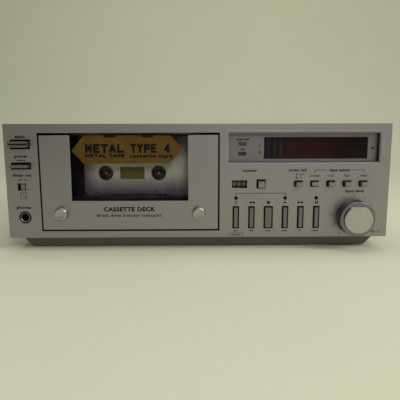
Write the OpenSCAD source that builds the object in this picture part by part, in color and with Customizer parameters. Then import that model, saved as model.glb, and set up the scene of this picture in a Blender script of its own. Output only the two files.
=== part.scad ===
// Compact front-loading cassette deck, millimetres.
// Origin: centre of the bounding box, on the table. +X right, +Y to the rear, +Z up.
// Most pieces are placed from the front panel: X from its centre, depth behind its
// face, and height above its lower edge. at_face() moves to that corner of the design.

/* [Body] */
// Width of the front panel
panel_w = 297; // [296:0.5:300]
// Height of the front panel
panel_h = 88.4; // [88:0.2:90]
// Thickness of the front panel
panel_t = 3; // [2.8:0.1:3]
// Height of the panel's lower edge above the table
panel_z = 9.6; // [9.4:0.1:12]
// Width of the steel body behind the panel
body_w = 290; // [290:0.5:292]
// Depth from the panel's face to the outside of the rear panel
body_d = 240; // [235:1:250]
// Thickness of the steel sheet
sheet_t = 1.2; // [1:0.1:1.2]
// How far the apron under the panel sits behind the panel's face
apron_set = 10; // [9:0.5:10]
// Height of the feet below the tray
foot_h = 1; // [0.8:0.1:1.2]

/* [Door] */
// Centre of the door from the panel's centre
door_x = -53.3; // [-53.6:0.1:-53.2]
// Width of the door plate
door_w = 136.8; // [136:0.2:137]
// Lower edge of the door plate
door_z = 6.5; // [6.4:0.1:6.6]
// Height of the door plate
door_h = 73.6; // [73:0.1:73.6]
// Gap between the door plate and the panel
door_gap = 1.2; // [1.2:0.1:1.4]
// Width of the window in the door plate
window_w = 90.4; // [88:0.2:91]
// Height of the window's lower edge
window_z = 29.2; // [29:0.2:31]
// Depth of the door's pivot behind the panel's face
pivot_d = 8.5; // [8.4:0.1:8.6]
// Height of the door's pivot
pivot_z = 18.5; // [18.4:0.1:18.6]

/* [Cassette] */
// Width of the cassette
tape_w = 100.4; // [100.2:0.1:100.5]
// Lower edge of the cassette
tape_z = 15; // [14.9:0.1:15]
// Height of the cassette
tape_h = 63.8; // [63.5:0.1:63.8]
// Depth of the cassette's front face
tape_d = 15; // [14.9:0.1:15.1]
// Thickness of the cassette's main part
tape_t = 8.8; // [8.6:0.1:8.8]
// Distance between the two hubs
hub_pitch = 42.5; // [42.4:0.1:42.6]
// Height of the hubs
hub_z = 49.6; // [49.4:0.1:49.8]

/* [Controls] */
// How far the level knob stands in front of the panel
knob_proud = 13; // [12:0.5:14]
// Radius of the level control's rear ring
ring_r = 13.7; // [13:0.1:13.8]
// Radius of the level control's front knob
knob_r = 10.9; // [10:0.1:11.5]
// Level control, distance from the panel's centre
knob_x = 121.7; // [121:0.1:122]
// Level control, height
knob_z = 15.8; // [15.4:0.1:16]
// How far the push buttons stand out
button_proud = 5.5; // [4:0.5:6]
// Travel of the push buttons
button_travel = 3; // [2:0.5:3]
// How far the transport keys stand out
key_proud = 1; // [0.5:0.5:2]
// Height of the transport keys
key_h = 15.6; // [15:0.2:16]
// How far the eject button stands out
eject_proud = 6.5; // [5:0.5:7]
// How far the power button stands out
power_proud = 5.5; // [4.5:0.5:6]

/* [Rear] */
// How far the line sockets stand behind the rear panel
socket_proud = 6; // [6:0.5:8]
// Radius of a line socket's barrel
socket_r = 4.15; // [4:0.05:4.2]

/* [Hidden] */
$fn = 64;
face_y = -(knob_proud + body_d + socket_proud) / 2 + knob_proud;
half_w = body_w / 2;
slack = 0.05;                              // radial clearance of a running fit
rear_d = body_d - sheet_t;                 // depth of the rear panel's inner face
tray_z = foot_h - panel_z;                 // underside of the tray
bevel_h = 10.2;                            // height of the tray's 45 degree bevel
side_z = tray_z + bevel_h;                 // where the tray's bevel meets the side
floor_z = tray_z + sheet_t;                // inside of the tray's floor
cover_t = 1;
cover_top = panel_h - 1;                   // top cover sits 1 mm below the panel's top
frame_hw = half_w - cover_t - 0.5;         // half width of the plastic front frame
frame_t = 2;
frame_d = panel_t + frame_t;

// Door and the pocket behind it
open_x0 = door_x - door_w / 2 - door_gap;
open_x1 = door_x + door_w / 2 + door_gap;
open_z0 = door_z - door_gap;
open_z1 = door_z + door_h + door_gap;
pocket_out = 1.4;
pocket_d = 10;
pocket_wall = 2;
pin_r = 1.5;
carrier_hw = tape_w / 2 + 0.4;             // half width of the inside of the carrier
carrier_t = 2;
carrier_d = 26;
acrylic_t = 1.55;
screw_x = 53.5;                            // thumbscrews, from the door's centre
screw_z = 19.4;

// Cassette
tape_x0 = door_x - tape_w / 2;
tape_back = tape_d + tape_t;
thick_d0 = tape_d - 1.6;                   // front of the thick part over the heads
thick_d1 = tape_back + 1.6;
thick_h = 16.5;
thick_base = 35.5;                         // half width of the thick part, below
thick_top = 29;                            // half width of the thick part, above
shell_t = 1.3;
hub_hole_r = 6;
capstan_x = door_x + 26.8;
capstan_z = tape_z + 7;
capstan_r = 1.3;
supply_x = door_x - hub_pitch / 2;
takeup_x = door_x + hub_pitch / 2;

// Tape transport
mech_d = 28;
mech_t = 1.5;
mech_back = mech_d + mech_t;
spindle_r = 1.5;
rim_r = 17.5;
belt_d0 = 31.7;
belt_d1 = 33.9;
belt_t = 1;
belt_pulley_r = 6;
reel_pulley_r = 3.45;
rotor_r = 22;
head_travel = 5.5;
pinch_r = 5.2;
pinch_arm_len = 18;
pinch_swing = 19.2;                        // degrees from stop to play
pinch_x = capstan_x + pinch_arm_len * cos(pinch_swing / 2);
pinch_z = capstan_z - capstan_r - 0.3 - pinch_r - pinch_arm_len * sin(pinch_swing / 2);

// Counter
counter_z = 41.9;
counter_d = 9.9;
counter_x0 = 26.3;
wheel_w = 3.5;
wheel_pitch = 3.75;
wheel_r = 6.2;
counter_drive_x = 31.9;

// Controls: [centre x, centre z, slot width, slot height]
EJECT = [-136.2, 73.1, 15.2, 6.6];
POWER = [-136.35, 56.6, 15.3, 4.6];
TIMER = [-136.7, 40.4, 6.2, 5.6];
PHONES = [-135.5, 16.4];
RESET = [48.7, 41.95, 7, 6.7];
COUNTER = [31.8, 41.9, 11.8, 6];
BUTTON_X = [for (i = [0:4]) 77.7 + 12.6 * i];
BUTTON = [0, 42.15, 6.4, 4.5];
KEY_X = [29.15, 41.45, 54.65, 67.85, 79.95, 92.35];
KEY_W = [2.8, 2.8, 4.9, 2.8, 2.8, 2.8];
key_z = 15.7;
key_gap = 0.95;
DISPLAY = [23.1, 139.9, 58.8, 81.2];       // recess: x0, x1, z0, z1
FILTER = [51.1, 132.2, 61.2, 78.1];        // dark window: x0, x1, z0, z1
bezel_d = 5;                               // depth of the display bezel's face

// Rear sockets
SOCKET_X = [96, 112];
SOCKET_Z = [30, 46];
socket_bore_r = 1.6;
inlet_x = -112;
inlet_z = 22;

// ---------- helpers ----------

module at_face() { translate([0, face_y, panel_z]) children(); }

// Box from its lowest and highest x, depth and z
module block(x0, x1, d0, d1, z0, z1) {
    translate([x0, d0, z0]) cube([x1 - x0, d1 - d0, z1 - z0]);
}

// Box centred on x and z
module bar(x, z, w, h, d0, d1) { block(x - w / 2, x + w / 2, d0, d1, z - h / 2, z + h / 2); }

// Round rods along each axis
module rod_y(x, z, r, d0, d1) { translate([x, d0, z]) rotate([-90, 0, 0]) cylinder(h = d1 - d0, r = r); }
module rod_x(d, z, r, x0, x1) { translate([x0, d, z]) rotate([0, 90, 0]) cylinder(h = x1 - x0, r = r); }
module rod_z(x, d, r, z0, z1) { translate([x, d, z0]) cylinder(h = z1 - z0, r = r); }

// Cone along the depth
module cone_y(x, z, r0, r1, d0, d1) {
    translate([x, d0, z]) rotate([-90, 0, 0]) cylinder(h = d1 - d0, r1 = r0, r2 = r1);
}

// Outline in x and z, extruded between two depths
module slab(points, d0, d1) {
    translate([0, d1, 0]) rotate([90, 0, 0]) linear_extrude(d1 - d0) polygon(points);
}

// A panel cut-out for a control given as [x, z, w, h]
module slot(c, d0, d1, grow = 0) { bar(c[0], c[1], c[2] + grow, c[3] + grow, d0, d1); }

// Body outline below the top cover: a flat floor with 45 degree bevels at its sides
function tray_outline() = [
    [-half_w, side_z], [-half_w + bevel_h, tray_z], [half_w - bevel_h, tray_z], [half_w, side_z]];

// Inside of the sheet along that outline, and up between the side flanges at x = +-fx
function tray_inside(fx) =
    let (corner_x = half_w - bevel_h - sheet_t * (sqrt(2) - 1),
         flange_z = side_z - (half_w - fx) + sheet_t * sqrt(2))
    [[-fx, side_z + 10], [-fx, flange_z], [-corner_x, floor_z],
     [corner_x, floor_z], [fx, flange_z], [fx, side_z + 10]];

// ---------- case ----------

module front_panel() {
    color([0.72, 0.70, 0.66]) at_face() difference() {
        block(-panel_w / 2, panel_w / 2, 0, panel_t, 0, panel_h);
        block(open_x0, open_x1, -1, panel_t + 1, open_z0, open_z1);
        // relief behind the door's lower edge, which swings inwards
        slab([[open_x0, open_z0 + 0.1], [open_x0, open_z0 - 0.9],
              [open_x1, open_z0 - 0.9], [open_x1, open_z0 + 0.1]], 1.9, panel_t + 1);
        block(DISPLAY[0], DISPLAY[1], -1, panel_t + 1, DISPLAY[2], DISPLAY[3]);
        slot(EJECT, -1, panel_t + 1);
        slot(POWER, -1, panel_t + 1);
        slot(TIMER, -1, panel_t + 1);
        slot(RESET, -1, panel_t + 1);
        slot(COUNTER, -1, panel_t + 1);
        rod_y(PHONES[0], PHONES[1], 4.8, -1, panel_t + 1);
        rod_y(knob_x, knob_z, 4.8, -1, panel_t + 1);
        for (x = BUTTON_X) bar(x, BUTTON[1], BUTTON[2], BUTTON[3], -1, panel_t + 1);
        for (i = [0:5]) {
            bar(KEY_X[i], key_z, KEY_W[i] + 2 * key_gap, key_h + 2 * key_gap, -1, panel_t + 1);
        }
    }
}

module front_frame() {
    px0 = open_x0 - pocket_out;
    px1 = open_x1 + pocket_out;
    pz0 = open_z0 - 1.9;
    pz1 = open_z1 + 0.9;
    color([0.09, 0.09, 0.1]) at_face() {
        difference() {
            union() {
                block(-frame_hw, frame_hw, panel_t, frame_d, 2, panel_h - 2.4);
                // shelf that closes the step down to the apron
                block(-frame_hw + 1.5, frame_hw - 1.5, frame_d - 0.5, apron_set + 1.8, 2, pz0);
                block(px0 - pocket_wall, px1 + pocket_wall, frame_d - 0.5, pocket_d + pocket_wall,
                      2, pz1 + pocket_wall);
            }
            // pocket for the door plate, and the way through it for the carrier
            block(px0, px1, panel_t - 1, pocket_d, pz0, pz1);
            bar(door_x, (8 + pz1) / 2, 2 * (carrier_hw + carrier_t + 1.6), pz1 - 8, pocket_d - 1,
                pocket_d + pocket_wall + 1);
            // display
            block(20.4, 142.6, panel_t - 1, frame_d + 1, 55.6, 84.4);
            // left column
            block(-frame_hw - 1, -127.5, panel_t - 1, frame_d + 1, 66, 80);
            block(-frame_hw - 1, -127.5, panel_t - 1, frame_d + 1, 51.5, 61.6);
            block(-frame_hw - 1, -127.5, panel_t - 1, frame_d + 1, 35, 46);
            block(-frame_hw - 1, -127.8, panel_t - 1, frame_d + 1, 9.2, 23.6);
            // right side
            block(23.6, 40.2, panel_t - 1, frame_d + 1, 34, 50);
            block(42.6, 54.8, panel_t - 1, frame_d + 1, 35.6, 48.4);
            block(72.8, 133, panel_t - 1, frame_d + 1, 37.6, 46.8);
            block(24.4, 97.2, panel_t - 1, frame_d + 1, 4.8, 26.8);
            rod_y(knob_x, knob_z, 6, panel_t - 1, frame_d + 1);
        }
        // door pivot brackets
        for (s = [-1, 1]) {
            difference() {
                bar(door_x + s * (carrier_hw + carrier_t + 2.7), pivot_z, 4.2, 4.8,
                    pivot_d - 2.4, pocket_d + 0.5);
                rod_x(pivot_d, pivot_z, pin_r + slack, door_x - 70, door_x + 70);
            }
        }
        // pillars that carry the mechanism
        for (x = [-111.5, 5], z = [12, 79]) {
            rod_y(x, z, 2.6, pocket_d + pocket_wall - 0.5, mech_d);
        }
    }
}

module bottom_tray() {
    flange_x = half_w - cover_t - 0.2;
    color([0.33, 0.33, 0.34]) at_face() {
        difference() {
            union() {
                slab(tray_outline(), apron_set, rear_d);
                for (s = [-1, 1]) {
                    block(min(s * flange_x, s * (flange_x - sheet_t)),
                          max(s * flange_x, s * (flange_x - sheet_t)), apron_set + 2, rear_d,
                          side_z - 0.6, side_z + 9);
                }
            }
            slab(tray_inside(flange_x - sheet_t), apron_set + sheet_t, rear_d + 1);
            for (d = [28, 210]) rod_x(d, side_z + 5, 1.6, -half_w - 1, half_w + 1);
            // vents in the floor
            for (i = [0:7], d = [80, 150]) {
                block(-60 + 9 * i, -57 + 9 * i, d, d + 36, tray_z - 1, floor_z + 1);
            }
        }
        // standoffs under the main board
        for (x = [-14, 134], d = [66, 219]) rod_z(x, d, 3, floor_z - 0.5, 0.4);
    }
}

module top_cover() {
    top = cover_top;
    color([0.34, 0.34, 0.35]) at_face() difference() {
        union() {
            difference() {
                block(-half_w, half_w, panel_t + 0.2, rear_d, side_z + 0.3, top);
                block(-half_w + cover_t, half_w - cover_t, panel_t - 1, rear_d + 1,
                      side_z - 1, top - cover_t);
            }
            // rear flange for the rear panel's screws
            block(-half_w + cover_t, half_w - cover_t, rear_d - 1.2, rear_d,
                  top - cover_t - 9, top - cover_t + 0.2);
        }
        for (d = [28, 210]) rod_x(d, side_z + 5, 1.7, -half_w - 1, half_w + 1);
        for (x = [-130, 0, 130]) rod_y(x, top - 5.5, 1.6, rear_d - 2, rear_d + 1);
        // vents above the transformer and the boards
        for (i = [0:15], s = [-1, 1]) {
            bar(s * 82 + (i - 7.5) * 6, top, 2.6, 4, 168, 208);
        }
    }
}

module rear_panel() {
    top = cover_top;
    color([0.12, 0.12, 0.13]) at_face() difference() {
        slab([[-half_w, top], [-half_w, side_z], [-half_w + bevel_h, tray_z],
              [half_w - bevel_h, tray_z], [half_w, side_z], [half_w, top]], rear_d, body_d);
        for (x = SOCKET_X, z = SOCKET_Z) rod_y(x, z, 5, rear_d - 1, body_d + 1);
        bar(inlet_x, inlet_z, 19, 13, rear_d - 1, body_d + 1);
        for (x = [-130, 0, 130]) rod_y(x, top - 5.5, 1.7, rear_d - 1, body_d + 1);
        for (i = [0:11]) bar(-60 + 5 * i, 60, 2.4, 26, rear_d - 1, body_d + 1);
    }
}

module feet() {
    color([0.08, 0.08, 0.08]) for (x = [-116, 116], d = [34, 214]) {
        translate([x, face_y + d, 0]) cylinder(h = foot_h, r = 11);
    }
}

module cover_screws() {
    color([0.2, 0.2, 0.21]) at_face() {
        for (s = [-1, 1], d = [28, 210]) {
            x0 = s * half_w;
            rod_x(d, side_z + 5, 3.2, min(x0, x0 + s * 1.7), max(x0, x0 + s * 1.7));
            rod_x(d, side_z + 5, 1.45, min(x0, x0 - s * 6), max(x0, x0 - s * 6));
        }
        for (x = [-130, 0, 130]) {
            rod_y(x, cover_top - 5.5, 3.2, body_d, body_d + 1.7);
            rod_y(x, cover_top - 5.5, 1.45, body_d - 5, body_d);
        }
    }
}

// ---------- display, counter and sockets ----------

module display_bezel() {
    wall = 1.4;
    color([0.66, 0.65, 0.63]) at_face() difference() {
        block(DISPLAY[0] - wall, DISPLAY[1] + wall, panel_t, bezel_d + 1.4,
              DISPLAY[2] - wall, DISPLAY[3] + wall);
        block(DISPLAY[0], DISPLAY[1], panel_t - 1, bezel_d, DISPLAY[2], DISPLAY[3]);
        block(FILTER[0], FILTER[1], panel_t, bezel_d + 3, FILTER[2], FILTER[3]);
        for (z = [65.35, 72.95]) bar(34.2, z, 6.2, 2.9, bezel_d - 1, bezel_d + 3);
    }
}

module display_window() {
    gap = 0.1;
    color([0.25, 0.03, 0.05, 0.8]) at_face()
        block(FILTER[0] + gap, FILTER[1] - gap, bezel_d + 0.1, bezel_d + 2.1,
              FILTER[2] + gap, FILTER[3] - gap);
}

module meter_tube() {
    color([0.1, 0.14, 0.13]) at_face() {
        block(53, 130.4, bezel_d + 4, bezel_d + 10, 61, 78.4);
        rod_y(127, 69.6, 2, bezel_d + 9.5, bezel_d + 14);
    }
}

module phones_jack() {
    color([0.14, 0.14, 0.15]) at_face() difference() {
        union() {
            block(-142, -129, panel_t + 0.5, 26, 9.9, 22.9);
            rod_y(PHONES[0], PHONES[1], 4.6, 1.2, panel_t + 1);
            rod_y(PHONES[0], PHONES[1], 3.6, 0.2, 2);
        }
        rod_y(PHONES[0], PHONES[1], 3.2, -1, 22);
    }
}

module level_potentiometer() {
    color([0.55, 0.55, 0.52]) at_face() difference() {
        union() {
            block(knob_x - 13, knob_x + 13, 13, 33, knob_z - 12, knob_z + 12.5);
            rod_y(knob_x, knob_z, 4.5, -6, 14);
        }
        rod_y(knob_x, knob_z, 3 + slack, -7, 12.5);
    }
}

module counter_housing() {
    plate_w = 1.3;
    x0 = counter_x0 - 0.45;
    x1 = counter_x0 + 2 * wheel_pitch + wheel_w + 0.45;
    color([0.11, 0.11, 0.12]) at_face() {
        block(x0 - plate_w, x0, panel_t + 0.4, 17.4, counter_z - 7, counter_z + 7);
        block(x1, x1 + plate_w, panel_t + 0.4, 17.4, counter_z - 7, counter_z + 7);
        block(x0 - 0.5, x1 + 0.5, counter_d + wheel_r + 0.4, 18.4, counter_z - 7, counter_z + 7);
        rod_x(counter_d, counter_z, 1.5, x0 - 0.5, x1 + 0.5);
        // stud for the drive pulley
        rod_y(counter_drive_x, counter_z, 3, 18, belt_d0 - 1);
        rod_y(counter_drive_x, counter_z, spindle_r, belt_d0 - 1.5, belt_d1 + 1.6);
    }
}

// One number wheel of the counter
module counter_wheel(i) {
    x0 = counter_x0 + i * wheel_pitch;
    at_face() difference() {
        rod_x(counter_d, counter_z, wheel_r, x0, x0 + wheel_w);
        rod_x(counter_d, counter_z, 1.5 + slack, x0 - 1, x0 + wheel_w + 1);
    }
}

module counter_wheel_hundreds() { color([0.16, 0.16, 0.16]) counter_wheel(0); }
module counter_wheel_tens() { color([0.16, 0.16, 0.16]) counter_wheel(1); }
module counter_wheel_units() { color([0.16, 0.16, 0.16]) counter_wheel(2); }

module counter_pulley() {
    color([0.8, 0.79, 0.74]) at_face() difference() {
        union() {
            rod_y(counter_drive_x, counter_z, belt_pulley_r - 0.3, belt_d0 - 0.6, belt_d1 + 0.6);
            rod_y(counter_drive_x, counter_z, belt_pulley_r + 1.6, belt_d0 - 0.9, belt_d0 - 0.3);
            rod_y(counter_drive_x, counter_z, belt_pulley_r + 1.6, belt_d1 + 0.3, belt_d1 + 0.9);
        }
        rod_y(counter_drive_x, counter_z, spindle_r + slack, belt_d0 - 2, belt_d1 + 2);
    }
}

module counter_belt() {
    color([0.1, 0.1, 0.1]) at_face() difference() {
        hull() belt_ends(belt_pulley_r + belt_t);
        hull() belt_ends(belt_pulley_r);
    }
}

// The two round ends of the counter's belt
module belt_ends(r) {
    $fn = 48;
    grow = (r > belt_pulley_r) ? 0 : 1;
    rod_y(takeup_x, hub_z, r, belt_d0 - grow, belt_d1 + grow);
    rod_y(counter_drive_x, counter_z, r, belt_d0 - grow, belt_d1 + grow);
}

module line_sockets() {
    color([0.75, 0.74, 0.7]) at_face() difference() {
        union() {
            block(87, 121, body_d, body_d + 1.2, 21, 55);
            for (x = SOCKET_X, z = SOCKET_Z) {
                rod_y(x, z, socket_r, body_d - 10, body_d + socket_proud);
            }
        }
        for (x = SOCKET_X, z = SOCKET_Z) {
            rod_y(x, z, socket_bore_r, body_d - 6, body_d + socket_proud + 1);
        }
    }
}

module mains_inlet() {
    color([0.07, 0.07, 0.07]) at_face() {
        difference() {
            union() {
                bar(inlet_x, inlet_z, 18.4, 12.4, body_d - 16, body_d + 0.1);
                bar(inlet_x, inlet_z, 24, 17, body_d, body_d + 1.6);
            }
            bar(inlet_x, inlet_z, 15, 8, body_d - 12, body_d + 3);
        }
        for (s = [-1, 1]) rod_y(inlet_x + s * 4.3, inlet_z, 1.15, body_d - 13, body_d - 1);
    }
}

// ---------- electronics ----------

module control_boards() {
    key_board_d = 12;
    color([0.5, 0.42, 0.2]) at_face() {
        // board behind the keys with one touch switch for each
        block(23, 100, key_board_d, key_board_d + 1.6, 3, 29);
        for (x = KEY_X) bar(x, key_z, 6, 6, key_board_d - 2.8, key_board_d + 0.2);
        // board and switches of the five push buttons
        block(72, 134, 12.5, 38, 35.6, 37.2);
        for (x = BUTTON_X) {
            difference() {
                bar(x, BUTTON[1], 9.6, 10, 13, 34);
                bar(x, BUTTON[1], 3.4, 3.4, 12, 24);
            }
        }
        // board that carries the meter tube
        block(22, 141.6, bezel_d + 14.5, bezel_d + 16.1, 56, 84);
    }
}

// Upright round capacitor on the main board
module capacitor(x, d, r, h) { rod_z(x, d, r, 1.8, 2 + h); }

module main_board() {
    color([0.45, 0.36, 0.16]) at_face() {
        block(-20, 140, 60, 225, 0.4, 2);
        capacitor(0, 200, 9, 34);
        capacitor(24, 200, 9, 34);
        for (i = [0:7]) capacitor(6 + 16 * i, 92, 4, 13);
        for (i = [0:4]) capacitor(16 + 22 * i, 140, 5, 18);
        for (i = [0:3]) block(0 + 34 * i, 20 + 34 * i, 110, 118, 1.8, 6);
        // heat sink
        for (i = [0:6]) block(56 + 6 * i, 58 + 6 * i, 178, 202, 1.8, 34);
        block(56, 94, 176, 180, 1.8, 34);
    }
}

module power_transformer() {
    color([0.45, 0.4, 0.32]) at_face() {
        block(-134, -86, 168, 208, floor_z, floor_z + 1.6);
        block(-130, -90, 172, 204, floor_z + 1.4, 36);
        block(-124, -96, 163, 213, 0, 28);
    }
}

module power_switch() {
    color([0.12, 0.12, 0.12]) at_face() {
        difference() {
            block(-142.5, -130.5, 22, 50, 50, 63);
            bar(POWER[0], POWER[1], 4, 4, 21, 36);
        }
        // slide switch of the timer
        block(-142, -129, 8, 20, 36, 45);
        block(-143, -141.5, 19.8, 52, 34, 64);
    }
}

// ---------- tape transport, fixed pieces ----------

module mechanism_plate() {
    color([0.6, 0.6, 0.58]) at_face() {
        difference() {
            union() {
                block(-115, 8.5, mech_d, mech_back, 4, 83);
                for (x = [supply_x, takeup_x]) rod_y(x, hub_z, 3.2, mech_d - 1, mech_back + 1.2);
            }
            for (x = [supply_x, takeup_x]) {
                rod_y(x, hub_z, spindle_r + slack, mech_d - 3, mech_back + 3);
            }
            rod_y(capstan_x, capstan_z, 4.2, mech_d - 1, mech_back + 1);
            bar(door_x, hub_z, 12, 12, mech_d - 1, mech_back + 1);
            block(-100, -88, mech_d - 1, mech_back + 1, 50, 72);
            block(-20, -10, mech_d - 1, mech_back + 1, 50, 72);
        }
        // guide pins of the head base
        for (x = [door_x - 27, door_x + 8]) rod_y(x, 9, 1.5, mech_d - 3, mech_d + 0.5);
        // stud of the pinch arm
        rod_y(pinch_x, pinch_z, 1.5, mech_d - 3.2, mech_d + 0.5);
    }
}

module capstan_motor() {
    board_d = 51.5;
    posts = [[-24, 6.2], [24, 6.2], [24, 43.4]];
    color([0.36, 0.36, 0.38]) at_face() {
        difference() {
            union() {
                rod_y(capstan_x, capstan_z, 4, mech_d - 1.5, 40.5);
                rod_y(capstan_x, capstan_z, 6.5, mech_back, 33);
            }
            rod_y(capstan_x, capstan_z, capstan_r + slack, mech_d - 3, 42);
        }
        // stator board on three posts behind the rotor
        difference() {
            union() {
                block(capstan_x - 26.5, capstan_x + 26.5, board_d, board_d + 1.6, 3.6, 36);
                block(capstan_x - 12, capstan_x + 26.5, board_d, board_d + 1.6, 35, 46.5);
            }
            rod_y(capstan_x, capstan_z, 3, board_d - 1, board_d + 3);
        }
        for (p = posts) {
            rod_y(capstan_x + p[0], p[1], 2.2, mech_back, board_d + 0.5);
        }
        for (a = [0:60:300]) {
            rod_y(capstan_x + 12.5 * cos(a), capstan_z + 12.5 * sin(a), 4.6, board_d - 2, board_d);
        }
    }
}

module reel_motor() {
    color([0.62, 0.62, 0.62]) at_face() {
        difference() {
            rod_y(door_x, hub_z, 12, 40.5, 62);
            rod_y(door_x, hub_z, 1 + slack, 39, 56);
        }
        for (s = [-1, 1]) rod_y(door_x, hub_z + s * 9.5, 1.8, mech_back, 41);
    }
}

module head_solenoid() {
    color([0.5, 0.34, 0.14]) at_face() {
        block(-104, -82, mech_back, 46, 6, 22);
        rod_x(38, 14, 3, -82.5, -74);
    }
}

// ---------- door and cassette ----------

module door_cover() {
    color([0.72, 0.70, 0.66]) at_face() difference() {
        bar(door_x, door_z + door_h / 2, door_w, door_h, 0, panel_t);
        block(door_x - window_w / 2, door_x + window_w / 2, -1, panel_t + 1,
              window_z, door_z + door_h + 1);
        for (s = [-1, 1]) rod_y(door_x + s * screw_x, screw_z, 1.7, -1, panel_t + 1);
    }
}

module door_window() {
    top = door_z + door_h - 0.7;
    color([0.75, 0.78, 0.78, 0.35]) at_face()
        block(door_x - window_w / 2 - 2.2, door_x + window_w / 2 + 2.2,
              panel_t, panel_t + acrylic_t, window_z - 2.2, top);
}

// Domed head of a thumbscrew, facing forwards
module thumbscrew(x) {
    head_r = 5.2;
    head_h = 4.5;
    edge = 1.6;
    translate([x, 0, screw_z]) rotate([90, 0, 0]) rotate_extrude() polygon(concat(
        [[0, 0], [head_r, 0]],
        [for (a = [0:15:90]) [head_r - edge + edge * cos(a), head_h - edge + edge * sin(a)]],
        [[0, head_h]]));
    rod_y(x, screw_z, 1.5, -0.5, panel_t + 1.7);
}

module door_thumbscrews() {
    color([0.8, 0.78, 0.72]) at_face() for (s = [-1, 1]) thumbscrew(door_x + s * screw_x);
}

module cassette_carrier() {
    front_d = panel_t;
    front_t = 1.8;
    window_hw = window_w / 2 + 2.4;
    color([0.07, 0.07, 0.08]) at_face() {
        difference() {
            bar(door_x, 46.1, 120, 66.2, front_d, front_d + front_t);
            block(door_x - window_hw, door_x + window_hw, front_d - 1, front_d + 3, window_z - 2.4, 90);
            for (s = [-1, 1]) rod_y(door_x + s * screw_x, screw_z, 1.5 + slack, front_d - 1, front_d + 3);
        }
        for (s = [-1, 1]) {
            // side wall, rear lip, ledge under the cassette, and pivot pin
            bar(door_x + s * (carrier_hw + carrier_t / 2), 44.5, carrier_t, 63,
                front_d + front_t - 0.3, carrier_d);
            bar(door_x + s * (carrier_hw - 2.75), 46.5, 6.5, 59, tape_back + 0.5, carrier_d - 0.2);
            bar(door_x + s * (carrier_hw - 4.75), tape_z - 1.1, 10.5, 2, tape_d - 2.4, tape_back + 0.7);
            rod_x(pivot_d, pivot_z, pin_r, door_x + s * (carrier_hw + carrier_t + 2.1) - 2.6,
                  door_x + s * (carrier_hw + carrier_t + 2.1) + 2.6);
        }
        // guides in front of the cassette: the left one is wide enough to show
        block(door_x - carrier_hw - 0.5, door_x - carrier_hw + 12, tape_d - 2.4, tape_d - 0.3, 32.5, 76);
        block(door_x + carrier_hw - 5.2, door_x + carrier_hw + 0.5, tape_d - 2.4, tape_d - 0.3, 32.5, 76);
    }
}

module cassette_shell() {
    mouths = [[-33.4, -21.2], [-20.5, -11.5], [-10, 10], [11.5, 20.5], [21.2, 33.4]];
    base_z = tape_z;
    color([0.42, 0.42, 0.42, 0.9]) at_face() difference() {
        union() {
            block(tape_x0, tape_x0 + tape_w, tape_d, tape_back, base_z, base_z + tape_h);
            slab([[door_x - thick_base, base_z], [door_x + thick_base, base_z],
                  [door_x + thick_top, base_z + thick_h], [door_x - thick_top, base_z + thick_h]],
                 thick_d0, thick_d1);
        }
        // hollow inside
        block(tape_x0 + 2, tape_x0 + tape_w - 2, tape_d + shell_t, tape_back - shell_t,
              base_z + 2, base_z + tape_h - 2);
        slab([[door_x - thick_base + 2, base_z + 1.4], [door_x + thick_base - 2, base_z + 1.4],
              [door_x + thick_top - 1, base_z + 14], [door_x - thick_top + 1, base_z + 14]],
             thick_d0 + shell_t, thick_d1 - shell_t);
        // mouths for the heads and the pinch roller
        for (m = mouths) {
            block(door_x + m[0], door_x + m[1], thick_d0 + shell_t, thick_d1 - shell_t,
                  base_z - 1, base_z + 3);
        }
        for (x = [supply_x, takeup_x]) rod_y(x, hub_z, hub_hole_r, tape_d - 1, tape_back + 1);
        bar(door_x, hub_z, 19.6, 9.8, tape_d - 1, tape_back + 1);
        // capstan holes; their rear walls are open downwards so that the door can swing
        for (s = [-1, 1]) {
            rod_y(door_x + s * 26.8, capstan_z, 3.2, thick_d0 - 1, thick_d1 + 1);
            bar(door_x + s * 26.8, (base_z - 1 + capstan_z) / 2, 6.4, capstan_z - base_z + 1,
                thick_d1 - shell_t - 0.5, thick_d1 + 1);
            rod_y(door_x + s * 15.5, base_z + 9, 1.9, thick_d0 - 1, thick_d1 + 1);
        }
    }
}

// Reel hub of the cassette, wound with tape out to radius r
module hub(x, r) {
    d0 = tape_d + shell_t + 0.35;
    d1 = tape_back - shell_t - 0.35;
    at_face() {
        difference() {
            rod_y(x, hub_z, r, d0, d1);
            rod_y(x, hub_z, 5.2, d0 - 1, d1 + 1);
        }
        // drive teeth near the rear
        for (a = [0:60:300]) {
            translate([x, 0, hub_z]) rotate([0, a, 0])
                block(4, 5.5, d1 - 1.7, d1, -0.45, 0.45);
        }
    }
}

module supply_hub() { color([0.16, 0.11, 0.08]) hub(supply_x, 20); }
module takeup_hub() { color([0.16, 0.11, 0.08]) hub(takeup_x, 14.5); }

// Reel spindle with its turntable and the driving rim behind the mechanism plate
module spindle(x) {
    tip_d = tape_back - 7;
    cyl_d = tape_back - 3.5;
    cone_y(x, hub_z, 1.2, 2.3, tip_d, cyl_d);
    rod_y(x, hub_z, 2.3, cyl_d - 0.01, 25);
    for (a = [30:120:270]) {
        translate([x, 0, hub_z]) rotate([0, a, 0])
            block(2, 4.4, tape_back - 2.4, tape_back - 1, -0.4, 0.4);
    }
    rod_y(x, hub_z, 9, tape_back + 0.9, 26.4);
    rod_y(x, hub_z, spindle_r, 26, 38);
    rod_y(x, hub_z, rim_r, 35.2, 38);
}

module supply_spindle() { color([0.75, 0.75, 0.75]) at_face() spindle(supply_x); }

module takeup_spindle() {
    color([0.75, 0.75, 0.75]) at_face() {
        spindle(takeup_x);
        rod_y(takeup_x, hub_z, belt_pulley_r - 0.3, belt_d0 - 0.6, 35.5);
    }
}

module capstan_flywheel() {
    color([0.72, 0.68, 0.55]) at_face() {
        rod_y(capstan_x, capstan_z, capstan_r, tape_d + 0.4, 55);
        rod_y(capstan_x, capstan_z, rotor_r, 41.5, 48);
    }
}

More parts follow.
